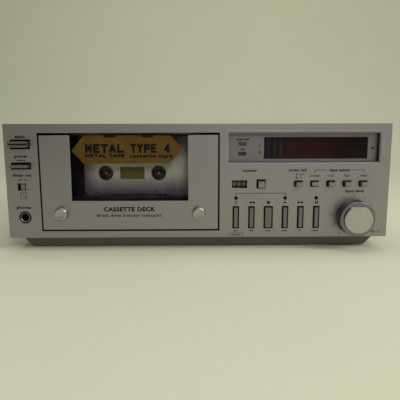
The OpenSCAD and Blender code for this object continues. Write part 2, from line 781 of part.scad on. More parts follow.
module reel_pulley() {
    color([0.1, 0.1, 0.1]) at_face() {
        rod_y(door_x, hub_z, reel_pulley_r, 34.8, 38.4);
        rod_y(door_x, hub_z, 1, 34.8, 54);
    }
}

// ---------- heads and pinch roller ----------

module head_base() {
    z0 = 1;
    plate_d = mech_d - 1.6;
    color([0.7, 0.7, 0.68]) at_face() difference() {
        union() {
            block(door_x - 32, door_x + 12.5, plate_d, plate_d + 1.2, z0, z0 + 10.4);
            block(door_x - 24, door_x + 6, tape_d, plate_d + 0.5, z0, z0 + 1.4);
        }
        // slots that ride on the guide pins
        for (x = [door_x - 27, door_x + 8]) {
            bar(x, 9 - head_travel / 2, 3.4, head_travel + 3.4, plate_d - 1, plate_d + 3);
        }
    }
}

module tape_heads() {
    color([0.78, 0.77, 0.74]) at_face() {
        // record and play head
        bar(door_x, 8.3, 12, 11.8, tape_d + 0.8, tape_back - 0.3);
        // erase head
        bar(door_x - 16, 8.3, 6.4, 11.8, tape_d + 1, tape_back - 0.8);
    }
}

// Pinch roller's axle at rest, below and left of the arm's stud
roller_x = pinch_x - pinch_arm_len * cos(pinch_swing / 2);
roller_z = pinch_z - pinch_arm_len * sin(pinch_swing / 2);

module pinch_arm() {
    plate_d = mech_d - 1.6;
    shelf_z = roller_z - 8.2;
    color([0.68, 0.68, 0.66]) at_face() {
        difference() {
            union() {
                slab([[roller_x - 3, shelf_z], [pinch_x + 1, shelf_z],
                      [pinch_x + 3.4, pinch_z - 3], [pinch_x + 3.4, pinch_z + 3.4],
                      [pinch_x - 3.4, pinch_z + 3.4], [roller_x - 3, shelf_z + 3]],
                     plate_d, plate_d + 1.2);
                block(roller_x - 3, roller_x + 3, tape_d + 0.4, plate_d + 0.5, shelf_z, shelf_z + 1.2);
            }
            rod_y(pinch_x, pinch_z, 1.5 + slack, plate_d - 1, plate_d + 3);
        }
        // fork and axle of the roller
        for (d = [tape_d + 0.4, tape_back - 1.1]) {
            block(roller_x - 2.2, roller_x + 2.2, d, d + 0.8, shelf_z + 1, roller_z + 2);
        }
        rod_y(roller_x, roller_z, 1, tape_d + 0.6, tape_back - 0.5);
    }
}

module pinch_roller() {
    color([0.08, 0.08, 0.08]) at_face() difference() {
        rod_y(roller_x, roller_z, pinch_r, tape_d + 1.5, tape_back - 1.4);
        rod_y(roller_x, roller_z, 1 + slack, tape_d, tape_back);
    }
}

// ---------- buttons, keys and knobs ----------

module eject_button() {
    x = EJECT[0];
    z = EJECT[1];
    half = 2.4;
    color([0.7, 0.68, 0.64]) at_face() {
        // cap with a groove along the middle of its face
        difference() {
            bar(x, z, 14, 2 * half, -eject_proud, panel_t + 0.6);
            translate([0, -eject_proud, z]) rotate([45, 0, 0]) cube([400, 1, 1], center = true);
        }
        bar(x, z, 13.6, 9.2, panel_t + 0.5, panel_t + 1.7);
        // arm that reaches behind the pocket to the carrier's catch
        block(x - 1, x + 4, panel_t + 1.5, 16, z - 3, z - 1);
        block(x - 1, -109, 14, 16, z - 3, z - 1);
    }
}

module power_button() {
    x = POWER[0];
    z = POWER[1];
    color([0.7, 0.68, 0.64]) at_face() {
        bar(x, z, 14, 2.6, -power_proud, panel_t + 0.6);
        bar(x, z, 13.2, 6.6, panel_t + 0.5, panel_t + 1.7);
        bar(x, z, 3, 3, panel_t + 1.5, 28);
    }
}

module timer_switch() {
    color([0.7, 0.68, 0.64]) at_face() {
        bar(-135.2, TIMER[1], 2.8, 4.8, -1.5, panel_t + 0.6);
        bar(-134.5, TIMER[1], 9, 8, panel_t + 0.5, panel_t + 1.5);
        bar(-135.2, TIMER[1], 2, 2, panel_t + 1.4, 7.4);
    }
}

// Transport key i with a hidden flange that keeps it behind the panel
module transport_key(i) {
    at_face() {
        bar(KEY_X[i], key_z, KEY_W[i], key_h, -key_proud, panel_t + 0.6);
        bar(KEY_X[i], key_z, KEY_W[i] + 3.6, key_h + 3.4, panel_t + 0.5, panel_t + 1.6);
        bar(KEY_X[i], key_z, 2.4, 2.4, panel_t + 1.5, 6.8);
    }
}

module record_key() { color([0.62, 0.58, 0.58]) transport_key(0); }
module rewind_key() { color([0.62, 0.58, 0.58]) transport_key(1); }
module stop_key() { color([0.62, 0.58, 0.58]) transport_key(2); }
module play_key() { color([0.62, 0.58, 0.58]) transport_key(3); }
module forward_key() { color([0.62, 0.58, 0.58]) transport_key(4); }
module pause_key() { color([0.62, 0.58, 0.58]) transport_key(5); }

// Push button i; a latched one stands pushed in by its travel
module push_button(i, latched = 0) {
    push = latched * button_travel;
    at_face() translate([0, push, 0]) {
        bar(BUTTON_X[i], BUTTON[1], 5.2, 3.3, -button_proud, panel_t + 0.6);
        bar(BUTTON_X[i], BUTTON[1], 7.6, 5.6, panel_t + 0.5, panel_t + 1.5);
        bar(BUTTON_X[i], BUTTON[1], 2.6, 2.6, panel_t + 1.4, 18);
    }
}

module noise_reduction_button() { color([0.72, 0.7, 0.68]) push_button(0); }
module normal_tape_button() { color([0.72, 0.7, 0.68]) push_button(1, latched = 1); }
module chrome_tape_button() { color([0.72, 0.7, 0.68]) push_button(2); }
module ferrichrome_tape_button() { color([0.72, 0.7, 0.68]) push_button(3); }
module metal_tape_button() { color([0.72, 0.7, 0.68]) push_button(4); }

module counter_reset() {
    color([0.72, 0.7, 0.66]) at_face() {
        bar(RESET[0], RESET[1], 5.4, 5.6, -2.5, panel_t + 0.6);
        bar(RESET[0], RESET[1], 8.6, 8.4, panel_t + 0.5, panel_t + 1.5);
        block(40.6, RESET[0] + 1, 8, 10, RESET[1] - 1.5, RESET[1] + 1.5);
        bar(RESET[0], RESET[1], 2, 3, panel_t + 1.4, 8.2);
    }
}

module level_ring() {
    front = knob_proud - 2.5;
    color([0.7, 0.68, 0.64]) at_face() difference() {
        union() {
            cone_y(knob_x, knob_z, ring_r - 0.8, ring_r - 0.2, -front, -front + 0.6);
            cone_y(knob_x, knob_z, ring_r - 0.2, ring_r, -front + 0.6, -0.5);
        }
        rod_y(knob_x, knob_z, 4.5 + slack, -6.6, 0);
        rod_y(knob_x, knob_z, 3.4, -front - 1, 0);
        // hollow skirt
        difference() {
            rod_y(knob_x, knob_z, ring_r - 2, -6, 0);
            rod_y(knob_x, knob_z, 7, -7, 1);
        }
    }
}

module level_knob() {
    flat = 0.89;
    front = -knob_proud;
    color([0.76, 0.75, 0.7]) at_face() {
        difference() {
            union() {
                cone_y(knob_x, knob_z, knob_r - 0.4, knob_r, front, front + 0.4);
                rod_y(knob_x, knob_z, knob_r, front + 0.4, front + 2.2);
            }
            block(knob_x - 20, knob_x + 20, front - 1, front + 3, knob_z + flat * knob_r, knob_z + 20);
        }
        rod_y(knob_x, knob_z, 3, front + 2, 11.5);
    }
}

front_panel();
front_frame();
bottom_tray();
top_cover();
rear_panel();
feet();
cover_screws();
display_bezel();
display_window();
meter_tube();
phones_jack();
level_potentiometer();
control_boards();
main_board();
power_transformer();
power_switch();
line_sockets();
mains_inlet();
mechanism_plate();
capstan_motor();
reel_motor();
counter_housing();
head_solenoid();
counter_belt();
counter_pulley();
door_cover();
door_window();
door_thumbscrews();
cassette_carrier();
cassette_shell();
supply_hub();
takeup_hub();
supply_spindle();
takeup_spindle();
capstan_flywheel();
reel_pulley();
head_base();
tape_heads();
pinch_arm();
pinch_roller();
eject_button();
power_button();
timer_switch();
record_key();
rewind_key();
stop_key();
play_key();
forward_key();
pause_key();
noise_reduction_button();
normal_tape_button();
chrome_tape_button();
ferrichrome_tape_button();
metal_tape_button();
counter_reset();
level_ring();
level_knob();
counter_wheel_units();
counter_wheel_tens();
counter_wheel_hundreds();
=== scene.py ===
from math import acos, copysign, cos, hypot, pi, radians, sin

import bmesh
import bpy
from mathutils import Matrix, Vector


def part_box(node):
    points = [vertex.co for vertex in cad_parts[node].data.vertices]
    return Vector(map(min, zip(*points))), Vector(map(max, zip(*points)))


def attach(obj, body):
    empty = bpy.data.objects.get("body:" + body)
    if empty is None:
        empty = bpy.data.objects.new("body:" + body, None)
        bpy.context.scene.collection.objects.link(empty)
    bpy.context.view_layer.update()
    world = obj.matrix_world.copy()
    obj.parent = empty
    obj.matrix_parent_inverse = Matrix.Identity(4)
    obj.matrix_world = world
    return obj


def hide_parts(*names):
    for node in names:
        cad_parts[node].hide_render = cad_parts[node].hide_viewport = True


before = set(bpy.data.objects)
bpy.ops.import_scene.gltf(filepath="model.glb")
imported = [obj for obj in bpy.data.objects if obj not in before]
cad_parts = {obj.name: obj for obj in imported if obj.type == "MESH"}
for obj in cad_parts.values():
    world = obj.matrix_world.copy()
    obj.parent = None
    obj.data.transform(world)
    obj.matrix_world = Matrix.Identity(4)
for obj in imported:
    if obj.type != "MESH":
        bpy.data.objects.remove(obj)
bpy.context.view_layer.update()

# ---------- places, in millimetres from the front panel ----------
# x is measured from the panel's middle, depth behind its face, and z above its lower edge.

MM = 0.001
FACE_Y, PANEL_Z = (round(v / MM, 2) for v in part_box("front_panel")[0][1:])


def P(x, d, z):
    """The point at x, depth d and height z in the row frame, in metres."""
    return Vector((x * MM, (FACE_Y + d) * MM, (PANEL_Z + z) * MM))


def span(node):
    """A node's lowest and highest x, depth and z."""
    ends = zip(*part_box(node), (0, FACE_Y, PANEL_Z))
    return [(round(low / MM - zero, 2), round(high / MM - zero, 2)) for low, high, zero in ends]


def middle(node):
    """The middle of a node's box in x and z."""
    (x0, x1), _, (z0, z1) = span(node)
    return (x0 + x1) / 2, (z0 + z1) / 2


(PANEL_X0, PANEL_X1), (_, PANEL_BACK), (_, PANEL_TOP) = span("front_panel")
(DOOR_X0, DOOR_X1), _, (DOOR_Z0, _) = span("door_cover")
DOOR_X = middle("door_cover")[0]
HUBS = [middle(n)[0] for n in ("supply_hub", "takeup_hub")]
HUB_Z = middle("supply_hub")[1]
KNOB = middle("level_ring")
JACK = middle("phones_jack")
THUMBSCREWS = [(DOOR_X + side * 53.5, middle("door_thumbscrews")[1]) for side in (-1, 1)]
KEY_FLANGE = 3.6         # a key's flange is this much wider than its cap
KEYS = []                # middle, width of the cap, name
for name in ("record", "rewind", "stop", "play", "forward", "pause"):
    (x0, x1), _, _ = span(name + "_key")
    KEYS.append(((x0 + x1) / 2, x1 - x0 - KEY_FLANGE, name))
KEY_X = {name: x for x, _, name in KEYS}
KEY_Z = middle("stop_key")[1]
BUTTONS = [(middle(n + "_button")[0], n + "_button")
           for n in ("noise_reduction", "normal_tape", "chrome_tape", "ferrichrome_tape", "metal_tape")]
BUTTON_Z = middle(BUTTONS[0][1])[1]
REAR_D = span("rear_panel")[1][1]
COVER_X = span("top_cover")[0][1]
METER_Z = (71.8, 66.3)   # the meter's rows, left channel over right


# ---------- materials ----------


class Nodes:
    """A material with one Principled shader, and short ways to add textures to it."""

    def __init__(self, name):
        self.mat = bpy.data.materials.new(name)
        self.mat.use_nodes = True
        self.tree = self.mat.node_tree
        self.bsdf = self.tree.nodes["Principled BSDF"]
        self.coords = self.add("ShaderNodeTexCoord")

    def add(self, kind, **inputs):
        n = self.tree.nodes.new(kind)
        for k, v in inputs.items():
            n.inputs[k.replace("_", " ")].default_value = v
        return n

    def link(self, a, b):
        self.tree.links.new(a, b)

    def noise(self, scale, stretch=(1, 1, 1), detail=3.0):
        m = self.add("ShaderNodeMapping", Scale=stretch)
        self.link(self.coords.outputs["Object"], m.inputs["Vector"])
        n = self.add("ShaderNodeTexNoise", Scale=scale, Detail=detail, Roughness=0.55)
        self.link(m.outputs["Vector"], n.inputs["Vector"])
        return n.outputs["Fac"]

    def place(self):
        """The place on the object in metres, as three outputs X, Y and Z."""
        split = self.add("ShaderNodeSeparateXYZ")
        self.link(self.coords.outputs["Object"], split.inputs["Vector"])
        return split.outputs

    def ramp(self, fac, stops):
        r = self.add("ShaderNodeValToRGB")
        marks = r.color_ramp.elements
        marks[0].position, marks[-1].position = stops[0][0], stops[-1][0]
        for at, _ in stops[1:-1]:
            marks.new(at)
        for mark, (_, color) in zip(marks, stops):
            mark.color = (*color, 1)
        self.link(fac, r.inputs["Fac"])
        return r.outputs["Color"]

    def reach(self, value, start, end, low=0.0, high=1.0):
        """low where the value is at start, high where it is at end."""
        r = self.add("ShaderNodeMapRange", From_Min=start, From_Max=end, To_Min=low, To_Max=high)
        self.link(value, r.inputs["Value"])
        return r.outputs["Result"]

    def spread(self, fac, low, high):
        """A noise's usual range, taken to the range from low to high."""
        return self.reach(fac, 0.3, 0.7, low, high)

    def math(self, operation, a, b, c=None):
        m = self.add("ShaderNodeMath")
        m.operation = operation
        for socket, value in zip(m.inputs, (a, b, c)):
            if isinstance(value, float):
                socket.default_value = value
            elif value is not None:
                self.link(value, socket)
        return m.outputs["Value"]

    def bump(self, fac, depth):
        b = self.add("ShaderNodeBump", Strength=1.0, Distance=depth)
        self.link(fac, b.inputs["Height"])
        self.link(b.outputs["Normal"], self.bsdf.inputs["Normal"])

    def color(self, fac, stops):
        self.link(self.ramp(fac, stops), self.bsdf.inputs["Base Color"])

    def rough(self, fac, low, high):
        self.link(self.spread(fac, low, high), self.bsdf.inputs["Roughness"])

    def set(self, **inputs):
        for k, v in inputs.items():
            self.bsdf.inputs[k.replace("_", " ")].default_value = v


def tone(color, k):
    """The colour made lighter or darker."""
    return tuple(min(1, v * k) for v in color)


def finish_of(name, color, rough, metal=0.0, vary=0.06, grain=900, stretch=(1, 1, 1), depth=2e-5,
              rough_spread=0.05, blotch=60, coat=0.0):
    """Colour that varies in blotches and in the grain, with roughness and bump from the same grain."""
    n = Nodes(name)
    fine = n.noise(grain, stretch)
    wide = n.noise(blotch, (1, 1, 1), 2.0)
    mix = n.add("ShaderNodeMix")
    mix.data_type = "FLOAT"
    mix.inputs["Factor"].default_value = 0.5
    n.link(fine, mix.inputs[2])
    n.link(wide, mix.inputs[3])
    n.color(mix.outputs[0], [(0.3, tone(color, 1 - vary)), (0.7, tone(color, 1 + vary))])
    n.rough(fine, rough - rough_spread, rough + rough_spread)
    n.bump(fine, depth)
    n.set(Metallic=metal)
    if coat:
        n.set(Coat_Weight=coat, Coat_Roughness=0.15)
    return n.mat


SILVER = (0.355, 0.332, 0.332)
M = {}
M["panel"] = finish_of("panel_aluminium", SILVER, 0.40, 1.0, 0.025, 2600, (1, 1, 1), 4e-6, 0.04, 14)
M["silver"] = finish_of("button_silver", (0.31, 0.293, 0.282), 0.34, 1.0, 0.03, 2200, (1, 1, 1), 4e-6)
M["key"] = finish_of("key_silver", (0.20, 0.18, 0.185), 0.42, 0.85, 0.04, 2200, (1, 1, 3), 5e-6)
M["frame"] = finish_of("frame_plastic", (0.006, 0.005, 0.007), 0.6, 0.0, 0.25, 1500)
M["case"] = finish_of("case_paint", (0.14, 0.14, 0.142), 0.42, 0.75, 0.05, 1700, depth=1.6e-5)
M["rear"] = finish_of("rear_paint", (0.035, 0.035, 0.038), 0.5, 0.3, 0.15, 1500)
M["rubber"] = finish_of("foot_rubber", (0.02, 0.02, 0.02), 0.8, 0.0, 0.3, 1200, depth=3e-5)
M["screw"] = finish_of("screw_steel", (0.10, 0.10, 0.105), 0.35, 1.0, 0.1, 1500, depth=6e-6)
M["bezel"] = finish_of("bezel_silver", (0.235, 0.218, 0.232), 0.38, 0.85, 0.03, 2400, depth=4e-6)
M["surround"] = finish_of("surround_grey", (0.23, 0.205, 0.21), 0.5, 0.0, 0.08, 2000, depth=4e-6)
M["jack_black"] = finish_of("jack_black", (0.006, 0.006, 0.007), 0.35, 0.0, 0.3, 1200, depth=1e-5)
M["chrome"] = finish_of("plated_metal", (0.80, 0.79, 0.77), 0.14, 1.0, 0.04, 1200, depth=3e-6,
                        rough_spread=0.03)
M["steel"] = finish_of("zinc_steel", (0.50, 0.50, 0.48), 0.38, 1.0, 0.08, 700, (1, 8, 1), 8e-6)
M["board"] = finish_of("circuit_board", (0.17, 0.10, 0.035), 0.5, 0.0, 0.14, 260, (1, 5, 1), 2e-5)
M["iron"] = finish_of("transformer_iron", (0.10, 0.085, 0.07), 0.5, 0.6, 0.2, 900, (1, 1, 14), 5e-5)
M["moulded"] = finish_of("switch_plastic", (0.02, 0.02, 0.022), 0.45, 0.0, 0.2, 1400, depth=1.5e-5)
M["coil"] = finish_of("coil_tape", (0.30, 0.13, 0.03), 0.35, 0.0, 0.1, 400, (6, 1, 1), 3e-5)
M["belt"] = finish_of("belt_rubber", (0.018, 0.018, 0.018), 0.65, 0.0, 0.2, 900)
M["pulley"] = finish_of("pulley_plastic", (0.62, 0.60, 0.52), 0.4, 0.0, 0.05, 900, depth=1e-5)
M["brass"] = finish_of("flywheel_metal", (0.66, 0.56, 0.36), 0.3, 1.0, 0.05, 900, depth=5e-6)
M["head"] = finish_of("head_metal", (0.75, 0.73, 0.70), 0.12, 1.0, 0.03, 900, (1, 1, 6), 3e-6,
                      rough_spread=0.03)
M["carrier"] = finish_of("carrier_plastic", (0.008, 0.007, 0.010), 0.55, 0.0, 0.25, 1500, depth=1.5e-5)
M["ink"] = finish_of("panel_ink", (0.005, 0.004, 0.005), 0.55, 0.0, 0.2, 1500, depth=3e-6)
M["soft_ink"] = finish_of("panel_ink_soft", (0.022, 0.019, 0.021), 0.55, 0.0, 0.1, 1500, depth=3e-6)
M["digit_ink"] = finish_of("digit_ink", (0.34, 0.33, 0.24), 0.5, 0.0, 0.08, 1500, depth=3e-6)
M["pale_ink"] = finish_of("pale_ink", (0.72, 0.72, 0.66), 0.5, 0.0, 0.08, 1500, depth=3e-6)
M["counter"] = finish_of("counter_plastic", (0.055, 0.05, 0.045), 0.45, 0.0, 0.2, 1500, depth=8e-6)
M["tape"] = finish_of("wound_tape", (0.055, 0.028, 0.016), 0.28, 0.0, 0.2, 2500, (1, 6, 1), 8e-6)
M["hub"] = finish_of("hub_plastic", (0.075, 0.07, 0.085), 0.4, 0.0, 0.1, 1200, depth=1e-5)
M["spindle"] = finish_of("spindle_plastic", (0.16, 0.16, 0.18), 0.35, 0.0, 0.1, 1200, depth=1e-5)
M["lens"] = finish_of("lamp_lens", (0.022, 0.017, 0.020), 0.25, 0.0, 0.2, 700, depth=4e-6, coat=0.2)
M["lens_grey"] = finish_of("lamp_lens_grey", (0.055, 0.048, 0.05), 0.25, 0.0, 0.15, 700, depth=4e-6, coat=0.2)
M["socket_red"] = finish_of("socket_red", (0.40, 0.02, 0.015), 0.35, 0.0, 0.1, 1200, depth=1e-5)
M["socket_white"] = finish_of("socket_white", (0.72, 0.71, 0.67), 0.35, 0.0, 0.05, 1200, depth=1e-5)
M["thumb"] = finish_of("thumbscrew_aluminium", (0.44, 0.428, 0.40), 0.33, 1.0, 0.03, 2000, depth=5e-6)
M["segment_off"] = finish_of("meter_segment", (0.10, 0.12, 0.11), 0.4, 0.0, 0.12, 1200, depth=4e-6)


def turned(name, color, rough):
    """Metal with fine rings turned around the level control's axis."""
    n = Nodes(name)
    m = n.add("ShaderNodeMapping", Location=(-KNOB[0] * MM, 0, -(KNOB[1] + PANEL_Z) * MM))
    n.link(n.coords.outputs["Object"], m.inputs["Vector"])
    flat = n.add("ShaderNodeMapping", Scale=(1, 0, 1))
    n.link(m.outputs["Vector"], flat.inputs["Vector"])
    w = n.add("ShaderNodeTexWave", Scale=900.0, Distortion=1.5, Detail=2.0)
    w.wave_type = "RINGS"
    w.rings_direction = "SPHERICAL"
    n.link(flat.outputs["Vector"], w.inputs["Vector"])
    fine = w.outputs["Fac"]
    n.color(fine, [(0.0, tone(color, 0.95)), (1.0, tone(color, 1.05))])
    n.rough(fine, rough - 0.03, rough + 0.04)
    n.bump(fine, 4e-6)
    n.set(Metallic=1.0)
    return n.mat


M["knob"] = turned("knob_aluminium", (0.49, 0.475, 0.44), 0.30)
# The ring's knurled side is painted near black as painted shade and dark reflection on its flank; its front
# face keeps a mid grey.
M["ring"] = turned("ring_aluminium_painted_shade", (0.05, 0.045, 0.054), 0.24)
M["ring_face"] = turned("ring_face_aluminium", (0.22, 0.205, 0.225), 0.30)


def see_through(name, tint, reflect_rough, haze, ior, film_share):
    """A clear sheet: a tinted Transparent shader under a film of the haze's colour.

    The film covers the given share of the light from straight ahead, and more at a slant."""
    n = Nodes(name)
    clear = n.add("ShaderNodeBsdfTransparent")
    wide = n.noise(35)
    n.link(n.ramp(wide, [(0.35, tone(tint, 0.93)), (0.65, tone(tint, 1.0))]), clear.inputs["Color"])
    n.color(wide, [(0.3, tone(haze, 0.8)), (0.7, haze)])
    n.rough(wide, reflect_rough * 0.8, reflect_rough * 1.2)
    film = n.add("ShaderNodeFresnel", IOR=ior)
    mix = n.add("ShaderNodeMixShader")
    n.link(n.reach(film.outputs["Fac"], 0.0, 1.0, film_share), mix.inputs["Fac"])
    n.link(clear.outputs["BSDF"], mix.inputs[1])
    n.link(n.bsdf.outputs["BSDF"], mix.inputs[2])
    n.link(mix.outputs["Shader"], n.tree.nodes["Material Output"].inputs["Surface"])
    return n


def filter_finish():
    """The meter's red filter. Its film carries painted reflections: soft upright bands, violet at the left
    and red to the right.
    """
    n = see_through("filter_red", (0.30, 0.045, 0.05), 0.12, (0.05, 0.012, 0.02), 1.55, 0.30)
    left, right = 0.051, 0.132
    # painted reflections: upright bands across the filter's film
    across = n.reach(n.place()["X"], left, right)
    n.color(across, [
        (0.0, (0.030, 0.022, 0.035)), (0.055, (0.07, 0.055, 0.08)), (0.075, (0.012, 0.010, 0.014)),
        (0.11, (0.085, 0.065, 0.09)), (0.13, (0.018, 0.013, 0.018)), (0.17, (0.10, 0.065, 0.085)),
        (0.19, (0.03, 0.02, 0.026)), (0.22, (0.085, 0.030, 0.028)), (0.55, (0.075, 0.022, 0.020)),
        (0.74, (0.040, 0.015, 0.014)), (0.95, (0.028, 0.016, 0.018)), (1.0, (0.035, 0.022, 0.030))])
    return n.mat


M["acrylic"] = see_through("door_acrylic", (0.95, 0.95, 0.94), 0.09, (0.02, 0.02, 0.02), 1.25, 0.0).mat
M["filter"] = filter_finish()
M["pane"] = see_through("cassette_pane", (0.60, 0.56, 0.38), 0.12, (0.26, 0.225, 0.045), 1.45, 0.60).mat


def cassette_finish():
    """Smoky shell: pale around the hubs and darker towards its foot, with painted shade towards its top and
    at its left end.
    """
    n = Nodes("cassette_plastic")
    place = n.place()
    up = n.reach(place["Z"], 0.0385, 0.0605)
    # painted shade: the shell is darker at its left end and towards its top
    side = n.reach(place["X"], -0.098, -0.080)
    top = n.reach(place["Z"], 0.068, 0.080, 1.0, 0.42)
    wide = n.noise(55)
    pale = n.math("MULTIPLY_ADD", wide, 0.22, n.math("MULTIPLY", n.math("MULTIPLY", up, top), side))
    n.color(pale, [(0.11, (0.035, 0.026, 0.05)), (0.38, (0.12, 0.09, 0.15)), (0.72, (0.38, 0.355, 0.36)),
                   (1.0, (0.68, 0.665, 0.58))])
    n.rough(wide, 0.25, 0.36)
    n.bump(n.noise(1500), 8e-6)
    n.set(Coat_Weight=0.25, Coat_Roughness=0.12)
    return n.mat


M["cassette"] = cassette_finish()


def paper(name, color):
    """Printed sticker paper: fine fibres and slight uneven ink."""
    n = Nodes(name)
    fibre = n.noise(1400, (1, 1, 3), 5.0)
    wide = n.noise(90)
    n.color(wide, [(0.3, tone(color, 0.88)), (0.7, tone(color, 1.08))])
    n.rough(fibre, 0.5, 0.65)
    n.bump(fibre, 1e-5)
    return n.mat


M["sticker"] = paper("sticker_paper", (0.108, 0.060, 0.010))
M["sticker_ink"] = paper("sticker_ink", (0.004, 0.0025, 0.002))

DULL = 0.15              # how strongly print and matt plastic reflect
for name in ("sticker", "sticker_ink", "ink", "soft_ink", "frame", "carrier", "jack_black"):
    M[name].node_tree.nodes["Principled BSDF"].inputs["Specular IOR Level"].default_value = DULL


# ---------- mesh building ----------

# bold capitals as lines in a square from 0 to 1
STROKES = {
    "M": [[(0, 0), (0, 1), (0.5, 0.3), (1, 1), (1, 0)]],
    "E": [[(1, 0), (0, 0), (0, 1), (1, 1)], [(0, 0.5), (0.85, 0.5)]],
    "T": [[(0, 1), (1, 1)], [(0.5, 1), (0.5, 0)]],
    "A": [[(0, 0), (0.5, 1), (1, 0)], [(0.2, 0.32), (0.8, 0.32)]],
    "L": [[(0, 1), (0, 0), (1, 0)]],
    "Y": [[(0, 1), (0.5, 0.48), (1, 1)], [(0.5, 0.48), (0.5, 0)]],
    "P": [[(0, 0), (0, 1), (1, 1), (1, 0.46), (0, 0.46)]],
    "4": [[(0.78, 0), (0.78, 1), (0, 0.28), (1, 0.28)]],
}
INK = 0.02               # print stands this far out of its face
STROKE_STEP = 0.004      # the lines of one stroke lie this much apart in depth where they cross
PATH_STEP = 0.008        # and the strokes of one letter this much
COPY_STEP = 0.005        # and the shifted copies of bold lettering this much
CAP_HEIGHT = 0.7         # a capital's height as a share of the font's size


def new_object(name, data):
    ob = bpy.data.objects.new(name, data)
    bpy.context.scene.collection.objects.link(ob)
    return ob


def curve_mesh(curve):
    """The mesh of a curve or of lettering. The curve itself is removed."""
    ob = new_object("outline", curve)
    bpy.context.view_layer.update()
    me = bpy.data.meshes.new_from_object(ob.evaluated_get(bpy.context.evaluated_depsgraph_get()))
    bpy.data.objects.remove(ob)
    bpy.data.curves.remove(curve)
    return me


def letter_mesh(words, size, thick, weight=0.0, space=1.0):
    """Plain lettering around the origin, in millimetres, standing out by thick to both sides."""
    cu = bpy.data.curves.new("words", "FONT")
    cu.body = words
    cu.size = size
    cu.align_x = "CENTER"
    cu.align_y = "CENTER"
    cu.extrude = thick
    cu.offset = weight
    cu.resolution_u = 3
    cu.space_character = space
    return curve_mesh(cu)


def rect(x0, x1, z0, z1):
    return [(x0, z0), (x1, z0), (x1, z1), (x0, z1)]


def circle(x, z, r, steps=48):
    turns = [2 * pi * i / steps for i in range(steps)]
    return [(x + r * cos(a), z + r * sin(a)) for a in turns]


